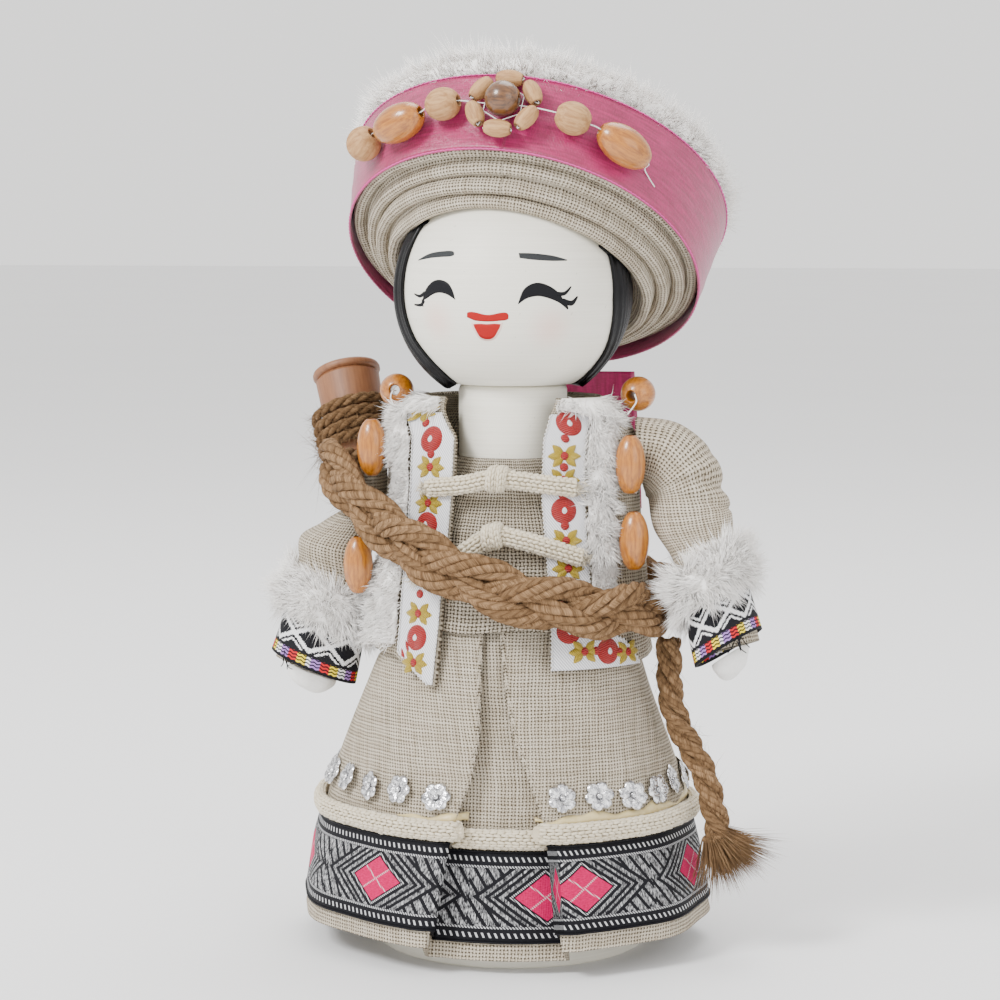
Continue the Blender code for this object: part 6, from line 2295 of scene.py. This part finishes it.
def make_sleeve(name, arm):
    wrist = np.array(arm["wrist"])
    axis = unit(arm["direction"])
    sides = 72
    t = 2 * math.pi * np.arange(sides + 1) / sides
    rings = []
    side = 1 if name == "right" else -1
    level = np.array((0, 1.0, 0))
    for place, wide, deep, turn in arm["rings"]:
        lean = math.radians(turn)
        across = -side * np.array((side * math.cos(lean), 0.0, math.sin(lean)))
        rings.append(
            np.array(place) + across * (wide * np.cos(t))[:, None] + level * (deep * np.sin(t))[:, None]
        )
    across = unit(np.cross(level, axis))
    fore = np.cross(axis, across)
    wide, deep = arm["end"]
    for share in (1.0, 0.66, 0.33, 0.0):
        place = wrist - axis * FOREARM_LENGTH * share
        rings.append(place + across * (wide * np.cos(t))[:, None] + fore * (deep * np.sin(t))[:, None])
    grid = smooth_route(np.array(rings), 90)
    centre = grid.mean(axis=1, keepdims=True)
    outward = unit(grid - centre)
    s = np.linspace(0, 1, 91)[:, None]
    fold = 0.0
    if name == "right":
        for where, lean, depth, width in (
            (0.30, 0.05, 0.0016, 0.022), (0.38, 0.07, 0.0008, 0.018), (0.22, 0.03, 0.0006, 0.02)
        ):
            line = where + lean * np.cos(t - 2.6)[None, :]
            inside = smooth_step((np.cos(t - 3.5)[None, :] + 0.35) / 0.9)
            fold = fold + depth * np.exp(-(((s - line) / width) ** 2)) * inside
    wave = 0.00035 * ripple(190 + len(name), np.cos(t)[None, :] * 2.2, np.sin(t)[None, :] * 2.2, s * 14)
    grid = grid + outward * (wave * np.sin(math.pi * np.clip(s * 1.1, 0, 1)) - fold)[..., None]
    parts = Parts()
    coords = arc_coords(grid)
    coords[..., 0] = (t / (2 * math.pi) * 66.0)[None, :]
    rows, columns = grid.shape[:2]
    faces = [tuple(f) for f in grid_quads(rows, columns).tolist()]
    points = np.vstack([grid.reshape(-1, 3), grid[0].mean(axis=0)[None], grid[-1].mean(axis=0)[None]])
    number = rows * columns
    faces += [(j + 1, j, number) for j in range(columns - 1)]
    faces += [
        ((rows - 1) * columns + j, (rows - 1) * columns + j + 1, number + 1) for j in range(columns - 1)
    ]
    coords = np.vstack([coords.reshape(-1, 3), np.zeros((2, 3))])
    if name == "right":
        faces = [tuple(reversed(f)) for f in faces]
    parts.add(points, faces, coords, 0.5)
    sleeve = parts.piece(f"linen_sleeve_{name}", LINEN, "linen", f"sleeve_{name}")


def arm_axes(arm):
    """Rows of a forearm's directions across, fore and ahead, with its cross-section and its cuff's slant."""
    ahead = unit(np.array(arm["direction"]))
    across = unit(np.cross((0, 1.0, 0), ahead))
    fore = np.cross(ahead, across)
    wide, deep = arm["end"]
    return np.array((across * wide / deep + ahead * arm["slant"], fore, ahead))


def make_cuff_band(name, arm):
    axes = arm_axes(arm)
    wrist = np.array(arm["wrist"])
    inner = arm["end"][1] + GAP
    sides = 96
    t = np.linspace(0, 2 * math.pi, sides + 1)
    rows = np.linspace(0, 1, 16)
    local = np.zeros((len(rows), sides + 1, 3))
    around = np.cos(t)[None, :] * 3, np.sin(t)[None, :] * 3
    uneven = 0.00018 * ripple(200 + len(name), *around, rows[:, None] * 2)
    radius = inner + 0.0007 + 0.0006 * (1 - rows)[:, None] + uneven
    local[..., 0] = radius * np.sin(t)[None, :]
    local[..., 1] = -radius * np.cos(t)[None, :]
    local[..., 2] = -CUFF_BAND_WIDTH * rows[:, None]
    grid = wrist + local @ axes
    coords = np.zeros(grid.shape)
    coords[..., 0] = t[None, :] * CUFF_REPEAT * 7 / (2 * math.pi)
    coords[..., 1] = rows[:, None] * CUFF_BAND_WIDTH * MM
    parts = Parts()
    add_cloth(parts, grid, coords, 0.0007, wrap=True, away_from=wrist)
    band = parts.piece(f"woven_cuff_{name}", CUFF_BAND, "woven_ribbon", f"cuff_band_{name}")
    threads = Parts()
    random = np.random.default_rng(210 + len(name))
    seam = grid[0, 8 if name == "left" else 88]
    for _ in range(7):
        base = seam + random.normal(size=3) * 0.0009
        way = unit(random.normal(size=3) * 0.5 + np.array((0.2, -0.3, -0.9)))
        tip = base + way * 0.0032 + random.normal(size=3) * 0.0004
        tube(threads, smooth_route([base - way * 0.001, base + way * 0.0018, tip], 8), 0.00014, 4)
    threads.piece(f"cuff_loose_threads_{name}", FACE_BLACK, "woven_ribbon")


def make_cuff_fur(name, arm):
    axes = arm_axes(arm)
    wrist = np.array(arm["wrist"])
    parts = Parts()
    start = CUFF_BAND_WIDTH + GAP
    low, high = -start - CUFF_FUR_LENGTH, -start
    inner = arm["end"][1] + GAP
    profile = [
        (inner, low + 0.001),
        (inner + 0.0012, low),
        (inner + 0.0023, low + 0.004),
        (inner + 0.0026, (low + high) / 2),
    ]
    profile += [(inner + 0.0023, high - 0.004), (inner + 0.0012, high), (inner, high - 0.001)]
    revolve(parts, profile + [profile[0]], 60, wrist, axes, tone=0.75)
    random = np.random.default_rng(220 + len(name))
    count = CUFF_FUR_BLADES
    t = random.uniform(0, 2 * math.pi, count)
    share = random.uniform(0, 1, count)
    level = low + (high - low) * share
    radius = inner + 0.0008 + 0.0014 * np.sin(math.pi * share)
    local = np.stack([radius * np.sin(t), -radius * np.cos(t), level], axis=1)
    way = np.stack([np.sin(t), -np.cos(t), np.zeros(count)], axis=1)
    roots = wrist + local @ axes
    normals = way @ axes
    forward = np.array((0, 0, 1.0)) @ axes
    flow = forward * ((share - 0.45)[:, None] * 1.9)
    fur_field(parts, roots, normals, flow, 230 + len(name), CUFF_FUR_PILE, 0.0034, 0.62)
    parts.piece(f"cuff_fur_ring_{name}", FUR, "white_fur", f"cuff_fur_{name}")


def make_hand(name, arm):
    axes = arm_axes(arm)
    wrist = np.array(arm["wrist"])
    sides = 48
    rows = 26
    start = abs(arm["slant"]) * arm["end"][1] * 0.6
    profile = [(0, start)]
    for i in range(rows):
        a = math.pi / 2 * i / rows
        profile.append((HAND_RADIUS * math.cos(a) ** 0.8, start + 0.0004 + HAND_RADIUS * math.sin(a)))
    profile.append((0, start + 0.0004 + HAND_RADIUS))
    parts = Parts()
    revolve(parts, profile, sides, wrist, axes)
    points = parts.points[0]
    rise = (points - wrist) * 420
    bump = 0.0005 * ripple(240 + len(name), rise[:, 0], rise[:, 1], rise[:, 2])
    parts.points[0] = points + unit(points - wrist) * bump[:, None]
    parts.piece(f"white_hand_{name}", STUFFING, "white_stuffing", f"hand_{name}")


for arm_name, arm_sizes in ARMS.items():
    make_sleeve(arm_name, arm_sizes)
    make_cuff_band(arm_name, arm_sizes)
    make_cuff_fur(arm_name, arm_sizes)
    make_hand(arm_name, arm_sizes)


# Cup, twine and sash


def tub_axes():
    return axes_to((-math.tan(math.radians(TUB_LEAN_LEFT)), math.tan(math.radians(TUB_LEAN_BACK)), 1.0))


def tub_radius(height):
    """Outside radius of the cup's body at a height on its own axis."""
    body = TUB_RIM_RADIUS - 0.0005
    return TUB_FOOT_RADIUS + (body - TUB_FOOT_RADIUS) * np.asarray(height) / TUB_HEIGHT


def make_tub():
    lip = TUB_HEIGHT - TUB_RIM_HEIGHT
    profile = [(0, 0), (TUB_FOOT_RADIUS - 0.0006, 0), (TUB_FOOT_RADIUS, 0.0006)]
    for k in range(1, 12):
        height = 0.0006 + (lip - 0.0014) * k / 11
        profile.append((float(tub_radius(height)), height))
    profile += [
        (float(tub_radius(lip)) - 0.0006, lip - 0.0003),
        (float(tub_radius(lip)) - 0.0007, lip + 0.0001),
        (TUB_RIM_RADIUS - 0.0003, lip + 0.0004),
        (TUB_RIM_RADIUS, lip + 0.0009),
        (TUB_RIM_RADIUS, TUB_HEIGHT - 0.0008),
        (TUB_RIM_RADIUS - 0.0003, TUB_HEIGHT - 0.0002),
        (TUB_RIM_RADIUS - 0.0008, TUB_HEIGHT),
        (TUB_RIM_RADIUS - TUB_WALL + 0.0003, TUB_HEIGHT),
        (TUB_RIM_RADIUS - TUB_WALL, TUB_HEIGHT - 0.0004),
        (TUB_FOOT_RADIUS - TUB_WALL, TUB_WALL * 1.5 + 0.001),
        (TUB_FOOT_RADIUS - TUB_WALL - 0.001, TUB_WALL * 1.5),
        (0, TUB_WALL * 1.5),
    ]
    parts = Parts()
    revolve(parts, profile, 72, TUB_PLACE, tub_axes())
    parts.piece("turned_cup", TURNED_WOOD, "turned_wood", "tub", sharp=50)


def make_twine():
    axes = tub_axes()
    turn = np.linspace(0, 2 * math.pi * TWINE_TURNS, 330)
    height = TWINE_START + (TWINE_DIAMETER + GAP) * turn / (2 * math.pi)
    radius = tub_radius(height) + 2 * GAP + TWINE_DIAMETER / 2
    local = np.stack([radius * np.cos(turn), radius * np.sin(turn), height], axis=1)
    path = TUB_PLACE + local @ axes
    out = np.stack([np.cos(turn), np.sin(turn), np.zeros(len(turn))], axis=1) @ axes
    parts = Parts()
    twisted_strands(parts, path, 0.00085, 0.0, 26, 3, 1, 0.00098, 0, 250, out)
    loose_fibres(parts, path + out * 0.0015, out, 251, 900, 0.0040, 0.00005)
    low = path[:80] + out[:80] * 0.0008
    loose_fibres(parts, low, out[:80], 252, 500, 0.0110, 0.00006, along=np.tile(-axes[2], (80, 1)))
    parts.piece("cup_twine", JUTE, "jute", "tub_twine")


def make_sash():
    """Three strands of cords in a plait, one closed path that goes round three times."""
    count = len(SASH_LINE)
    ahead = unit(np.roll(SASH_LINE, -1, axis=0) - np.roll(SASH_LINE, 1, axis=0))
    out = unit(SASH_LINE * (1, 1, 0))
    up = unit(np.cross(out, ahead))
    out = np.cross(ahead, up)
    half_wide = SASH_WIDTH / 2 - SASH_STRAND_RADIUS
    half_thick = SASH_THICKNESS / 2 - SASH_STRAND_RADIUS
    index = np.arange(3 * count)
    phase = 2 * math.pi * SASH_TURNS * index / count / 3
    at = index % count
    strand = SASH_LINE[at] + up[at] * (half_wide * np.sin(phase))[:, None]
    strand = strand + out[at] * (half_thick * 1.15 * np.sin(2 * phase))[:, None]
    strand = strand + up[at] * (
        0.0004 * ripple(260, np.cos(index * 0.031) * 4, np.sin(index * 0.031) * 4)
    )[:, None]
    _, near, side = frames_along(strand, True, out[at])
    parts = Parts()
    random = np.random.default_rng(261)
    cords = 6
    turns = 27
    swing = 2 * math.pi * turns * index / (3 * count)
    starts = []
    for m in range(cords):
        a = swing + 2 * math.pi * m / cords
        wobble = 1 + 0.10 * ripple(262 + m, np.cos(index * 0.0241) * 9, np.sin(index * 0.0241) * 9)
        cord = strand + (
            near * (np.cos(a) * wobble)[:, None] * 0.0020 + side * (np.sin(a) * wobble)[:, None] * 0.0025
        )
        tube(
            parts, cord, 0.00134, 6, closed=True, tone=random.uniform(0.15, 0.95), seed=random.uniform(0, 80)
        )
        starts.append(cord)
    parts.piece("plaited_sash", JUTE, "jute", "braid_sash")
    fibres = Parts()
    every = np.vstack(starts)
    outward = unit(np.vstack([c - strand for c in starts]) + np.vstack([out[at]] * cords) * 0.0008)
    along = np.vstack([np.roll(c, -1, axis=0) - c for c in starts])
    loose_fibres(fibres, every + outward * 0.0009, outward, 263, 2600, 0.0058, 0.00005, along=unit(along))
    fibres.piece("sash_fibres", JUTE, "jute")


make_tub()
make_twine()
make_sash()
